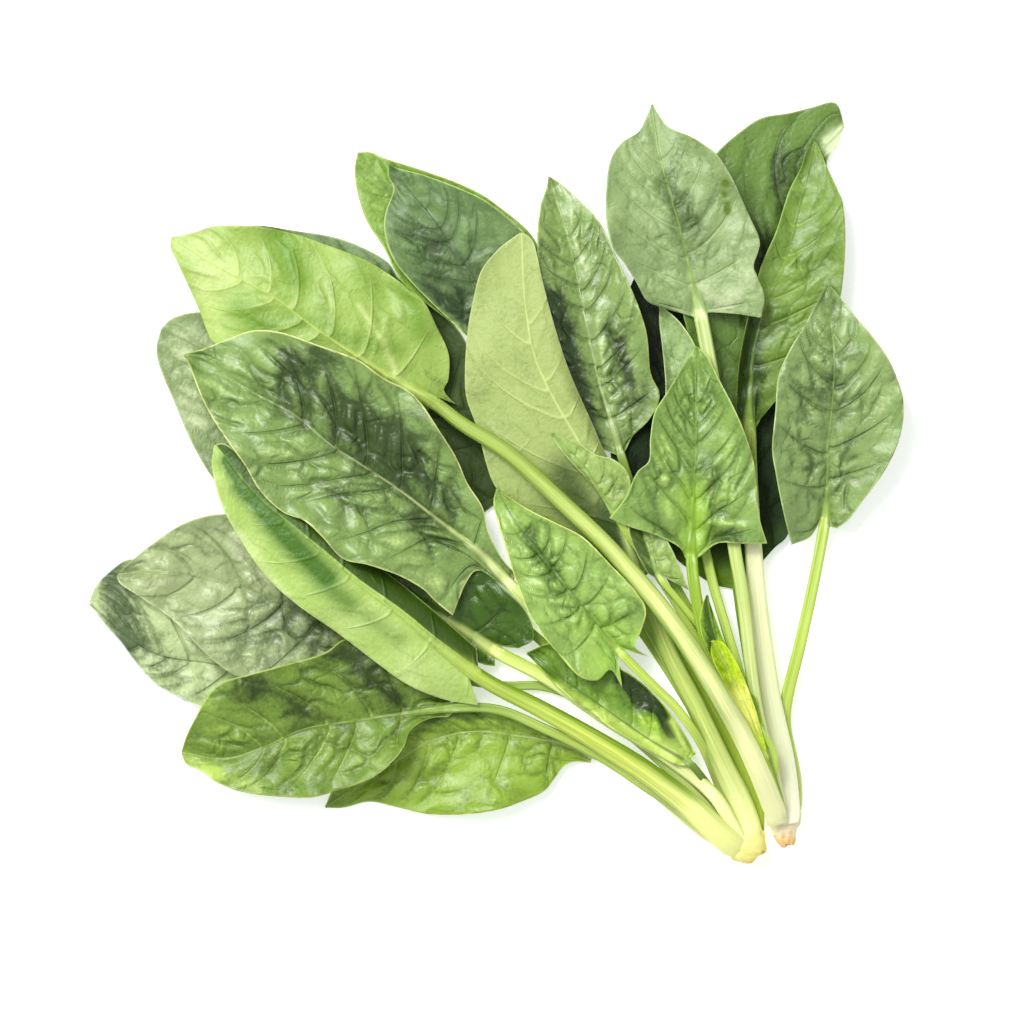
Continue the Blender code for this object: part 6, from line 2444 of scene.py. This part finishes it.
        rib_strength=0.95, rib_fade=0.3, rib_end=0.32, quilt=0.12, quilt_size=9.0, roll=0.8, ruffle=0.3,
        veins=6, vein_lift=0.25,
        streaks=(
            # The spots darken the lower blade in the shadow of the leaves over it: painted shadow.
            Streak((23, 2.5), (34.5, -15.5), 6, spot=0.85), Streak((36.5, -12), (48, -38.5), 9, spot=0.95),
            Streak((21, -5.5), (31, -18.5), 5, spot=0.5), Streak((26, 14.5), (39.5, -5.5), 3, tone=0.3),
            Streak((-5.5, 34.5), (-2, 11.5), 5, tone=-0.15),
        ),
    ),
    Leaf(
        name="leaf_small_pale", slot="leaf_mid", plant=Plant.RIGHT, base_width=2.6, neck_width=2.6,
        stalk_height=1.5,
        stalk=((90, -109.5), (86, -93.5), (77, -72), (67, -52), (54.5, -31.5), (45, -18.5), (41, -12)),
        rib=((36, -4.5), (29.5, 5.5), (18.5, 16.5)),
        left=((38.5, -11), (35.5, -5.5), (31, 0.5), (25, 7), (20.5, 12.5)),
        right=((42, -8.5), (45, -2), (44, 3.5), (39.5, 7.5), (34, 9), (28.5, 12.5), (23, 15)),
        blade_finish=YOUNG_BLADE, stalk_finish=GREEN_STALK, perch=-1.5, quilt=0.35, quilt_size=5.5,
        roll=0.4, ruffle=0.4, veins=5, skin=0.2,
    ),
    Leaf(
        name="leaf_small_hidden", slot="leaf_mid", plant=Plant.RIGHT, base_width=2.4, neck_width=2.2,
        stalk_height=1.4,
        stalk=((92.5, -109.5), (89.5, -93.5), (82, -72), (72, -53.5), (62, -40.5), (55, -32)),
        rib=((53, -25.5), (50.5, -18.5), (48, -7)),
        left=((51, -30.5), (47, -23.5), (44.5, -17), (44.5, -10.5)),
        right=((64.5, -36), (61, -27), (58.5, -21.5), (55, -15.5), (51, -9.5)),
        blade_finish=YOUNG_BLADE, stalk_finish=GREEN_STALK, perch=-1.5, quilt=0.25, quilt_size=4.5,
        roll=0.3, ruffle=0.3, veins=4, skin=0.2, left_tone=-0.7,
    ),
    Leaf(
        name="leaf_narrow_dark", slot="leaf_dark", plant=Plant.LEFT, base_width=4.6, neck_width=4.4,
        stalk_height=2.6,
        stalk=((80.5, -119), (73.5, -105), (57, -91.5), (37, -79), (19, -66.5), (1, -57)),
        rib=((-10.5, -49.5), (-22, -43), (-35.5, -35.5), (-50.5, -26.5), (-62, -17), (-70.5, -10.5)),
        left=(
            (0, -61.5), (-3.5, -61), (-7, -59.5), (-14, -56), (-22, -53.5), (-32, -47), (-45.5, -38.5),
            (-57, -28.5), (-65.5, -20.5),
        ),
        right=(
            (8, -55.5), (13, -52), (10.5, -43.5), (3, -35.5), (-5.5, -28.5), (-19, -25.5), (-32, -23.5),
            (-45.5, -18.5), (-59, -12),
        ),
        blade_finish=SHADOWED_NARROW_BLADE, stalk_finish=RUNNING_STALK, perch=1.8, rib_power=3.0,
        rib_strength=1.0, rib_fade=0.3, quilt_size=5.5, ruffle=0.9, veins=9,
    ),
    Leaf(
        name="leaf_folded", slot="leaf_pale", plant=Plant.LEFT, face=Face.UNDER, base_width=7.6,
        neck_width=5.0, stalk_height=3.8,
        stalk=((77, -121.5), (68, -110.5), (51, -97), (34.5, -86.5), (16, -76), (1, -68.5), (-7, -63.5)),
        rib=(
            (-19, -54.5), (-32, -43.5), (-45.5, -33.5), (-59, -22), (-70.5, -12.5), (-80.5, -3.5),
            (-88, 5.5), (-93.5, 12.5),
        ),
        left=(
            (-5.5, -74.5), (-17, -72.5), (-29, -67.5), (-39, -60.5), (-52, -50.5), (-65.5, -41),
            (-75.5, -32), (-84.5, -19.5), (-91, -7), (-94, 4.5),
        ),
        right=(
            (-6, -55.5), (-15.5, -47), (-29, -35.5), (-42, -25.5), (-55.5, -14.5), (-69, -4.5), (-82, 7),
            (-89.5, 12.5),
        ),
        # right_tone darkens the right wing, and the spots along the midrib darken the trough beside it:
        # painted shade.
        blade_finish=FOLDED_BLADE, stalk_finish=LIME_STALK, perch=1.4, base_swell=1.15, right_tone=-2.0,
        left_tone=0.25, rib_end=0.3, rib_power=3.0, rib_strength=0.35, rib_fade=0.5, quilt=0.08,
        quilt_size=10.0, ruffle=0.35, veins=6, vein_lift=0.12, flutes=0.1,
        streaks=(
            Streak((-89.5, 7), (-84.5, -1.5), 2.2, spot=1.2),
            Streak((-84.5, -1.5), (-76, -10.5), 3.6, spot=1.2),
            Streak((-76, -10.5), (-66, -21.5), 4.6, spot=1.2),
            Streak((-66, -21.5), (-55.5, -32), 4.8, spot=1.15),
            Streak((-57, -33.5), (-48, -40.5), 4, spot=0.75), Streak((-49, -40), (-32, -52.5), 3, spot=0.4),
            Streak((-90, -12), (-69, -38.5), 2.5, tone=0.4), Streak((-49, -42), (-19, -65.5), 8, tone=0.2),
        ),
    ),
    Leaf(
        name="leaf_heart_left", slot="leaf_mid", plant=Plant.LEFT, base_width=2.8, neck_width=2.4,
        stalk_height=1.6,
        stalk=((83.5, -116.5), (74.5, -105.5), (68, -97), (64.5, -93.5)),
        rib=((51, -85.5), (38, -76.5), (23, -66), (10.5, -57)),
        left=((61, -94.5), (55, -91.5), (48, -87.5), (36, -80), (26, -72.5), (18, -65.5)),
        right=((67, -90.5), (63.5, -84.5), (58.5, -77), (53, -70.5), (43, -62.5), (31, -57), (19.5, -53.5)),
        blade_finish=HEART_LEFT_BLADE, stalk_finish=SHADED_STALK, perch=-1.5, tuck=(0.3, 1.0), quilt=0.5,
        quilt_size=4.5, roll=0.5, ruffle=1.6, veins=5, skin=0.2, half_columns=4,
        streaks=(
            Streak((21, -68), (34.5, -77.5), 1.6, lift=0.4, spot=0.9),
            Streak((34.5, -78), (48.5, -86.5), 3.0, lift=0.5, spot=0.95),
            Streak((48.5, -86.5), (66, -94.5), 4.0, lift=0.4, spot=1.0),
            Streak((32, -72), (36, -75.5), 3, tone=0.6),
            Streak((50, -77.5), (54.5, -84.5), 2.6, tone=0.7, lift=0.8),
            Streak((59, -80), (64.5, -90.5), 1.2, lift=0.8, spot=0.9),
            # The two dark streaks press a crevice into the blade and paint its shade: painted shade.
            Streak((53, -72), (58.5, -83.5), 1.6, tone=-2.0, lift=-0.6),
            Streak((43, -64.5), (51, -74), 3, tone=-2.0),
        ),
    ),
    Leaf(
        name="leaf_behind_arrow", slot="leaf_mid", plant=Plant.RIGHT, neck_width=3.4, stalk_height=1.9,
        stalk=((92.5, -109.5), (90, -93.5), (84, -72), (77, -48.5), (72, -30.5), (67, -5.5)),
        rib=((65, 11.5), (62.5, 28), (59, 44.5), (55, 59.5)),
        left=((61, -3.5), (56, 8), (56, 21.5), (57, 31.5), (56, 44.5), (55, 53)),
        right=((73, -2), (76, 11.5), (73, 28), (68, 43), (62, 53)),
        blade_finish=BEHIND_BLADE, stalk_finish=GREEN_STALK, perch=-1.5, quilt=0.4, roll=0.6,
    ),
    Leaf(
        name="leaf_holed", slot="leaf_mid", plant=Plant.RIGHT, base_width=3.8, neck_width=4.8,
        stalk_height=2.6,
        stalk=(
            (96.5, -109.5), (91.5, -93.5), (86.5, -72), (82.5, -38.5), (79.5, -20.5), (75, 14.5),
            (73, 31.5), (68.5, 55.5),
        ),
        rib=((65.5, 68), (63, 79.5), (60, 90.5), (57, 101.5), (54.5, 111.5), (52.5, 126.5)),
        left=(
            (54.5, 58.5), (50.5, 60.5), (47, 66.5), (43, 72.5), (39, 78), (37, 86.5), (37, 98),
            (38.5, 107.5), (42.5, 113.5), (48, 117), (50.5, 122),
        ),
        right_heel=((71.5, 56.5), (79.5, 56)),
        right=(
            (88.5, 54.5), (89.5, 61.5), (87, 68.5), (86, 72), (88, 79.5), (85, 87.5), (81, 96.5), (77, 104),
            (73, 109.5), (66, 114.5), (58, 118.5), (55, 122.5),
        ),
        blade_finish=HOLED_BLADE, stalk_finish=WIDE_STALK, perch=-1.2, rib_power=12.0, quilt=0.5,
        quilt_size=7.5, roll=1.0, ruffle=0.8,
        streaks=(
            Streak((76.5, 99.5), (77, 99), 1.4, lift=-0.5, spot=1.3),
            Streak((76, 96), (76.5, 95.5), 1.0, lift=-0.4, spot=1.2),
            Streak((77, 92.5), (77.5, 90), 1.3, lift=-0.5, spot=1.3),
            Streak((56, 99.5), (64.5, 86.5), 5, tone=-0.45, pucker=0.4),
            Streak((79.5, 84.5), (83, 64.5), 6, tone=0.35), Streak((51, 94.5), (56, 74.5), 6, tone=0.2),
            Streak((68, 65.5), (76.5, 58.5), 5, tone=0.6),
            Streak((64.5, 89.5), (68, 78), 5, tone=-0.25, pucker=0.4),
            Streak((59.5, 81.5), (64.5, 71.5), 4, tone=-0.2), Streak((48, 111.5), (51, 101.5), 6, tone=0.3),
        ),
    ),
    Leaf(
        name="leaf_right", slot="leaf_mid", plant=Plant.RIGHT, base_width=4.4, neck_width=3.8,
        stalk_height=2.4,
        stalk=((103, -109.5), (99.5, -93.5), (97, -77), (102, -53.5), (106, -35.5), (110, -14.5)),
        rib=((111, -2), (111, 11.5), (112.5, 28), (113, 41.5), (112, 53), (111, 66)),
        left_heel=((105, -18.5),),
        left=(
            (99, -21), (96, -10.5), (93.5, 1.5), (92, 11.5), (93, 23), (94, 34.5), (98, 44), (103, 52),
            (107, 59.5),
        ),
        right=(
            (114, -15.5), (118, -12.5), (123, -5.5), (128.5, 2), (133, 10.5), (135.5, 19.5), (135, 29.5),
            (131, 39.5), (125, 48.5), (119.5, 55.5), (114.5, 62),
        ),
        blade_finish=RIGHT_BLADE, stalk_finish=GREEN_STALK, perch=-1.0, tuck=(0.21, 0.63), quilt=0.75,
        quilt_size=8.0, roll=1.1, ruffle=0.7, veins=6, vein_lift=0.35,
        streaks=(
            Streak((101, 34.5), (106, 4.5), 6, tone=-0.2, pucker=0.3),
            Streak((113, 34.5), (118, 11.5), 4, tone=-0.2, pucker=0.4),
            Streak((126, 44.5), (129.5, 18), 5, tone=0.4),
        ),
    ),
    Leaf(
        name="leaf_arrow", slot="leaf_mid", plant=Plant.RIGHT, base_width=3.4, neck_width=4.0,
        stalk_height=2.0,
        stalk=((89.5, -109.5), (88, -93.5), (79.5, -72), (71, -55.5), (67, -38.5), (65.5, -25.5)),
        rib=((66, -12), (66.5, 1.5), (67, 14.5), (67, 29.5), (67, 45.5)),
        left_heel=((61, -21.5), (53, -17.5), (45, -15)),
        left=((38, -12), (43, -5.5), (47, 3), (51, 7), (51.5, 14.5), (53, 23), (57, 29.5), (62, 37.5)),
        right_heel=((74, -20.5), (81, -20.5)),
        right=(
            (90.5, -20.5), (88, -12.5), (87, -2), (86, 6.5), (83.5, 14.5), (79.5, 24), (74.5, 34),
            (70.5, 42),
        ),
        blade_finish=ARROW_BLADE, stalk_finish=DEEP_STALK, perch=-1.2, rib_power=6.0, quilt=0.75,
        quilt_size=6.5, roll=1.0, ruffle=0.9, vein_lift=0.35,
        streaks=(
            Streak((69.5, -13), (83, -14.5), 0.8, tone=0.9, lift=0.6),
            Streak((71, -18), (86, -20.5), 4, tone=-0.5, lift=-0.6),
            Streak((66, -5.5), (67, -22), 5, spot=0.7),
            Streak((55, 14.5), (58.5, -12), 2.0, tone=0.5, lift=0.3),
            Streak((77, 14.5), (78.5, -5.5), 2.0, tone=0.5, lift=0.3),
            Streak((48, -5.5), (58, -15.5), 5, tone=-0.3),
            Streak((69.5, 4.5), (74.5, -15.5), 5, tone=-0.3, pucker=0.6),
        ),
    ),
    Leaf(
        name="leaf_heart_green", slot="leaf_lime", plant=Plant.RIGHT, base_width=2.4, neck_width=2.0,
        stalk_height=1.3,
        stalk=((91, -109.5), (93, -92), (88.5, -82.5)),
        rib=((81, -68.5), (75, -55.5), (72, -45.5), (70.5, -37.5)),
        left=((79.5, -73.5), (73, -60.5), (69, -52), (68, -46), (69, -40.5)),
        right=((87, -72), (82, -65.5), (78, -57), (74.5, -48.5), (72, -41.5)),
        blade_finish=HEART_GREEN_BLADE, stalk_finish=GREEN_STALK, perch=-1.5, quilt=0.25, quilt_size=4.0,
        roll=0.3, ruffle=0.6, veins=5, skin=0.2, half_columns=4,
        streaks=(Streak((70, -38.5), (73, -58.5), 1.5, tone=-1.0),),
    ),
    Leaf(
        name="leaf_heart_lime", slot="leaf_lime", plant=Plant.RIGHT, base_width=2.4, neck_width=2.0,
        stalk_height=1.3,
        stalk=((96, -109.5), (92, -97), (89.5, -90.5)),
        rib=((83, -73.5), (78, -63.5), (72, -52.5)),
        left=((84.5, -83.5), (78, -70.5), (72, -58.5)),
        right=((87, -77), (84, -68.5), (80.5, -60.5), (76, -53.5)),
        blade_finish=HEART_LIME_BLADE, stalk_finish=LIME_STALK, perch=-1.5, quilt=0.4, quilt_size=4.5,
        roll=0.5, ruffle=1.2, veins=5, skin=0.2, half_columns=4,
        streaks=(
            Streak((82, -70.5), (85, -80.5), 4, spot=1.0), Streak((75, -58.5), (78, -68.5), 3, tone=-0.4),
        ),
    ),
    Leaf(
        name="leaf_large_pale", slot="leaf_pale", plant=Plant.RIGHT, face=Face.UNDER, base_width=7.2,
        neck_width=4.6, stalk_height=3.4,
        stalk=(
            (92, -109.5), (88.5, -98.5), (80.5, -81.5), (68, -60.5), (54.5, -41), (38, -22), (21, -5.5),
            (4.5, 9.5), (-10.5, 19), (-20.5, 26.5),
        ),
        rib=((-32, 33), (-45.5, 41.5), (-59, 50.5), (-72, 60.5), (-85.5, 68), (-97, 74.5), (-108.5, 82)),
        left=(
            (-22, 24), (-32, 22), (-49, 23), (-65.5, 27.5), (-82, 35.5), (-94, 46.5), (-99, 57.5),
            (-103, 66.5), (-106.5, 74), (-108.5, 78),
        ),
        right=(
            (-13, 26), (-17, 30.5), (-15.5, 34.5), (-15.5, 43), (-19.5, 52), (-24, 60.5), (-32, 67),
            (-42, 73.5), (-55.5, 79), (-69, 83.5), (-82, 85.5), (-94, 85.5), (-100.5, 83.5),
        ),
        blade_finish=LARGE_PALE_BLADE, stalk_finish=BIG_STALK, perch=2.6, rib_power=4.0, quilt=0.18,
        quilt_size=9.0, roll=1.2, ruffle=0.8, vein_lift=0.45, flutes=0.1,
        streaks=(
            Streak((-72, 82), (-65.5, 67.5), 5, spot=0.8), Streak((-85, 57.5), (-75, 51.5), 4.5, spot=0.7),
            Streak((-29.5, 64.5), (-23.5, 49.5), 4, spot=0.6),
            Streak((-55.5, 49.5), (-32, 44), 3, spot=0.45), Streak((-70.5, 55.5), (-55.5, 52), 3, spot=0.5),
            Streak((-49, 76.5), (-39, 61.5), 3, spot=0.3), Streak((-102, 81.5), (-89, 69.5), 8, tone=0.8),
            Streak((-99, 64.5), (-94, 53), 5, tone=0.6),
            Streak((-32, 34.5), (-37, 46.5), 1.4, tone=0.8, lift=0.5),
            Streak((-37, 46.5), (-45, 58.5), 1.2, tone=0.8, lift=0.45),
            Streak((-22, 51.5), (-24, 64.5), 2, tone=0.5),
        ),
    ),
    Leaf(
        name="leaf_large_dark", slot="leaf_dark", plant=Plant.LEFT, base_width=4.4, neck_width=3.8,
        stalk_height=2.4,
        stalk=((82, -117.5), (72, -103.5), (61, -91), (48, -78.5), (34.5, -67), (23, -53.5), (5, -34)),
        rib=(
            (-5.5, -23), (-19, -12.5), (-32, -2.5), (-44, 5.5), (-55.5, 13), (-65.5, 21.5), (-79, 29),
            (-90.5, 35.5), (-104, 42.5),
        ),
        left_heel=((-5, -29.5), (-9.5, -33.5)),
        left=(
            (-14, -44.5), (-20, -39.5), (-24, -35.5), (-32, -31), (-42, -27.5), (-50.5, -25.5),
            (-57, -18.5), (-63, -13), (-70.5, -10), (-78, -3), (-83, 5.5), (-89.5, 14.5), (-95, 23),
            (-99, 31.5), (-101.5, 38),
        ),
        right=(
            (7, -30.5), (2.5, -25.5), (-2, -17), (-4, -8.5), (-9, -0.5), (-13, 8.5), (-19, 18), (-24, 25.5),
            (-29, 30.5), (-37, 34.5), (-45.5, 40.5), (-59, 45.5), (-70.5, 49.5), (-80.5, 50.5),
            (-89.5, 47.5), (-97, 44.5),
        ),
        blade_finish=LARGE_DARK_BLADE, stalk_finish=STOUT_STALK, perch=-1.0, rib_fade=0.8, rib_power=7.0,
        tuck=(0.6, 0.95), quilt=0.8, quilt_size=7.5, roll=1.3, ruffle=0.8, veins=8, vein_lift=0.45,
        streaks=(
            Streak((-66, 34), (-37, 11.5), 11, tone=-0.6, pucker=0.4),
            Streak((-37, 13), (-17, -7), 9, tone=-0.55, pucker=0.4),
            Streak((-29, -12), (-15.5, -25.5), 5, tone=-0.3),
            Streak((-65.5, 4.5), (-39, -12), 3, tone=-0.25),
            Streak((-70.5, 41.5), (-55.5, 44), 5, tone=-0.4, pucker=0.5),
            Streak((-49, 18), (-32, 4.5), 4, tone=-0.3), Streak((-89, 41.5), (-65.5, 46.5), 6, tone=0.3),
            Streak((-92, 28), (-65.5, 4.5), 8, tone=0.15),
            Streak((-32, -20.5), (-15.5, -35.5), 6, tone=0.3),
            Streak((-17, 4.5), (-5.5, -15.5), 4, tone=0.2),
            Streak((-62, -5.5), (-45.5, -20.5), 6, tone=0.15, pucker=0.5),
        ),
    ),
    Leaf(
        name="leaf_small_centre", slot="leaf_mid", plant=Plant.LEFT, stalk_height=1.8,
        stalk=((85.5, -115), (77, -105.5), (69.5, -88.5), (61, -76), (53, -68), (42, -57)),
        rib=((34.5, -48), (24.5, -35.5), (14.5, -23.5), (6, -12), (0.5, -2)),
        left=(
            (42.5, -68.5), (38.5, -62.5), (34, -66), (28, -64.5), (21, -57), (13, -47), (8, -35.5),
            (4, -23.5), (1, -13.5), (-0.5, -7),
        ),
        right=(
            (51, -58), (46.5, -54.5), (48.5, -49.5), (50, -42), (46, -35.5), (38, -27), (29.5, -18.5),
            (21, -14), (11, -9), (4, -4.5),
        ),
        blade_finish=SMALL_CENTRE_BLADE, stalk_finish=SOFT_STALK, perch=-1.0, rib_strength=0.6,
        rib_fade=0.2, rib_power=14.0, tuck=(0.2, 0.6), quilt=0.75, quilt_size=6.0, roll=0.9, ruffle=0.9,
        vein_lift=0.35,
        streaks=(
            Streak((11, -18.5), (26, -42), 4, tone=-0.4, pucker=0.8),
            Streak((5, -15.5), (14.5, -38.5), 3, tone=0.2),
            Streak((34.5, -46), (48, -42.5), 4, tone=-0.3, pucker=0.6),
            Streak((34.5, -48.5), (49.5, -57), 6, spot=0.6), Streak((34.5, -58), (42, -68.5), 5, spot=0.75),
            Streak((26, -45.5), (34.5, -52), 5, spot=0.3),
        ),
    ),
)

# Rings run from the stalks to the root.
CROWNS = (
    Crown(
        name="crown_left", plant=Plant.LEFT,
        rings=(
            CrownRing(-6.0, 4.0, 0.6), CrownRing(-3.0, 7.4, 3.4), CrownRing(0.0, 7.6, 6.0),
            CrownRing(3.0, 6.9, 6.8), CrownRing(5.4, 5.6, 5.6, 0.3), CrownRing(6.8, 4.5, 4.4, 0.6),
            CrownRing(7.4, 3.4, 3.2, 0.7),
        ),
        finish=CrownFinish(upper=(248, 251, 170), lower=(252, 246, 146), root=(250, 232, 120)), lobes=7,
        lobe_depth=0.2, ragged=0.6,
    ),
    Crown(
        name="crown_right", plant=Plant.RIGHT,
        rings=(
            CrownRing(-4.5, 2.6, 0.5), CrownRing(-2.5, 5.0, 1.8), CrownRing(0.0, 5.9, 4.6),
            CrownRing(3.0, 5.2, 5.8), CrownRing(4.4, 4.3, 5.0, -0.4), CrownRing(6.0, 4.0, 4.4, -0.4),
            CrownRing(8.0, 3.3, 3.6, -0.2), CrownRing(9.6, 2.0, 2.4, 0.3),
        ),
        finish=CrownFinish(upper=(252, 251, 206), lower=(252, 238, 196), root=(246, 202, 132)), ragged=0.6,
    ),
)


# -- The bunch, the studio and the run ---------------------------------


@dataclass
class Bunch:
    """Both plants: every leaf from the floor up, then the crowns."""

    leaves: tuple[Leaf, ...]
    crowns: tuple[Crown, ...]
    terrain: Terrain = field(default_factory=Terrain)

    def build(self, nodes: dict[str, Thing], dyer: Dyer) -> None:
        """Build every piece over its node.

        Args:
            nodes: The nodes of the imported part.
            dyer: Makes the materials.
        """
        for leaf in self.leaves:
            leaf.lay(nodes[leaf.name])
            leaf.shape_relief()
            leaf.settle(self.terrain)
            self.hand_over(leaf.build(dyer), leaf.name, leaf.slot, leaf.plant)
        for crown in self.crowns:
            self.hand_over(crown.build(dyer), crown.name, "crown", crown.plant)

    @staticmethod
    def hand_over(piece: Thing, node: str, slot: str, plant: Plant) -> None:
        """Let a piece stand for its node and report it.

        Args:
            piece: The finished piece.
            node: The node it stands for.
            slot: Not used.
            plant: The plant it grows on.
        """
        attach(piece, ROOT_BODY)
        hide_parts(node)
        LOG.info("%s on the %s plant, %d faces", piece.name, plant.value, len(piece.data.polygons))


@dataclass(frozen=True)
class Lamp:
    """A square lamp that looks at the middle of the floor, its place and side in metres."""

    name: str
    power: float
    size: float
    place: tuple[float, float, float]

    def hang(self) -> None:
        """Hang the lamp."""
        data = bpy.data.lights.new(self.name, "AREA")
        data.energy = self.power
        data.size = self.size
        lamp = bpy.data.objects.new(self.name, data)
        lamp.location = self.place
        away = np.array(self.place) / np.linalg.norm(self.place)
        lamp.rotation_euler = (math.acos(away[2]), 0.0, math.atan2(away[1], away[0]) + math.pi / 2)
        bpy.context.scene.collection.objects.link(lamp)


@dataclass
class Studio:
    """The plain white floor, the soft light and the camera straight above."""

    centre: Vec = (5.9, -9.5)
    height: float = 1.6
    sensor: float = 36.0
    frame_width: float = 0.3413
    leaf_level: float = 0.009
    floor_size: float = 6.0
    floor_level: float = -0.0002
    sky: tuple[float, float, float, float] = (0.97, 0.985, 1.0, 1.0)
    sky_light: float = 0.58
    lamps: tuple[Lamp, ...] = (
        Lamp("key", power=20.5, size=1.1, place=(-0.75, 0.7, 1.25)),
        Lamp("gleam", power=6.0, size=0.3, place=(-0.45, 0.75, 1.3)),
    )

    def build(self, dyer: Dyer) -> None:
        """Set up floor, light and camera.

        Args:
            dyer: Makes the floor's material.
        """
        self.lay_floor(dyer)
        self.hang_light()
        self.place_camera()

    def lay_floor(self, dyer: Dyer) -> None:
        """Lay the floor just under the bunch.

        Args:
            dyer: Makes its material.
        """
        bpy.ops.mesh.primitive_plane_add(size=self.floor_size, location=(0.0, 0.0, self.floor_level))
        floor = bpy.context.object
        floor.name = "floor"
        floor.data.materials.append(dyer.floor())
        floor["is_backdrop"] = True

    def hang_light(self) -> None:
        """Hang a broad lamp and a small one up to the left, and make the sky an even white."""
        for lamp in self.lamps:
            lamp.hang()
        world = bpy.data.worlds.new("soft_white")
        world.use_nodes = True
        sky = world.node_tree.nodes["Background"]
        sky.inputs["Color"].default_value = self.sky
        sky.inputs["Strength"].default_value = self.sky_light
        bpy.context.scene.world = world

    def place_camera(self) -> None:
        """Place the camera straight above, with a long lens."""
        data = bpy.data.cameras.new("camera")
        data.sensor_width = self.sensor
        data.lens = self.sensor * (self.height - self.leaf_level) / self.frame_width
        camera = bpy.data.objects.new("camera", data)
        camera.location = (self.centre[0] * MM, self.centre[1] * MM, self.height)
        bpy.context.scene.collection.objects.link(camera)
        bpy.context.scene.camera = camera
        bpy.context.scene.view_settings.view_transform = "Standard"


def corners() -> list[list[float]]:
    """Read the lowest and highest corner of what is shown."""
    return [list(corner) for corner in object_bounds()]


def main() -> None:
    """Build the bunch and the studio."""
    logging.basicConfig(level=logging.INFO, format="%(message)s")
    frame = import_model()
    dyer = Dyer()
    Bunch(LEAVES, CROWNS).build(frame["nodes"], dyer)
    Studio().build(dyer)


if __name__ == "__main__":
    main()
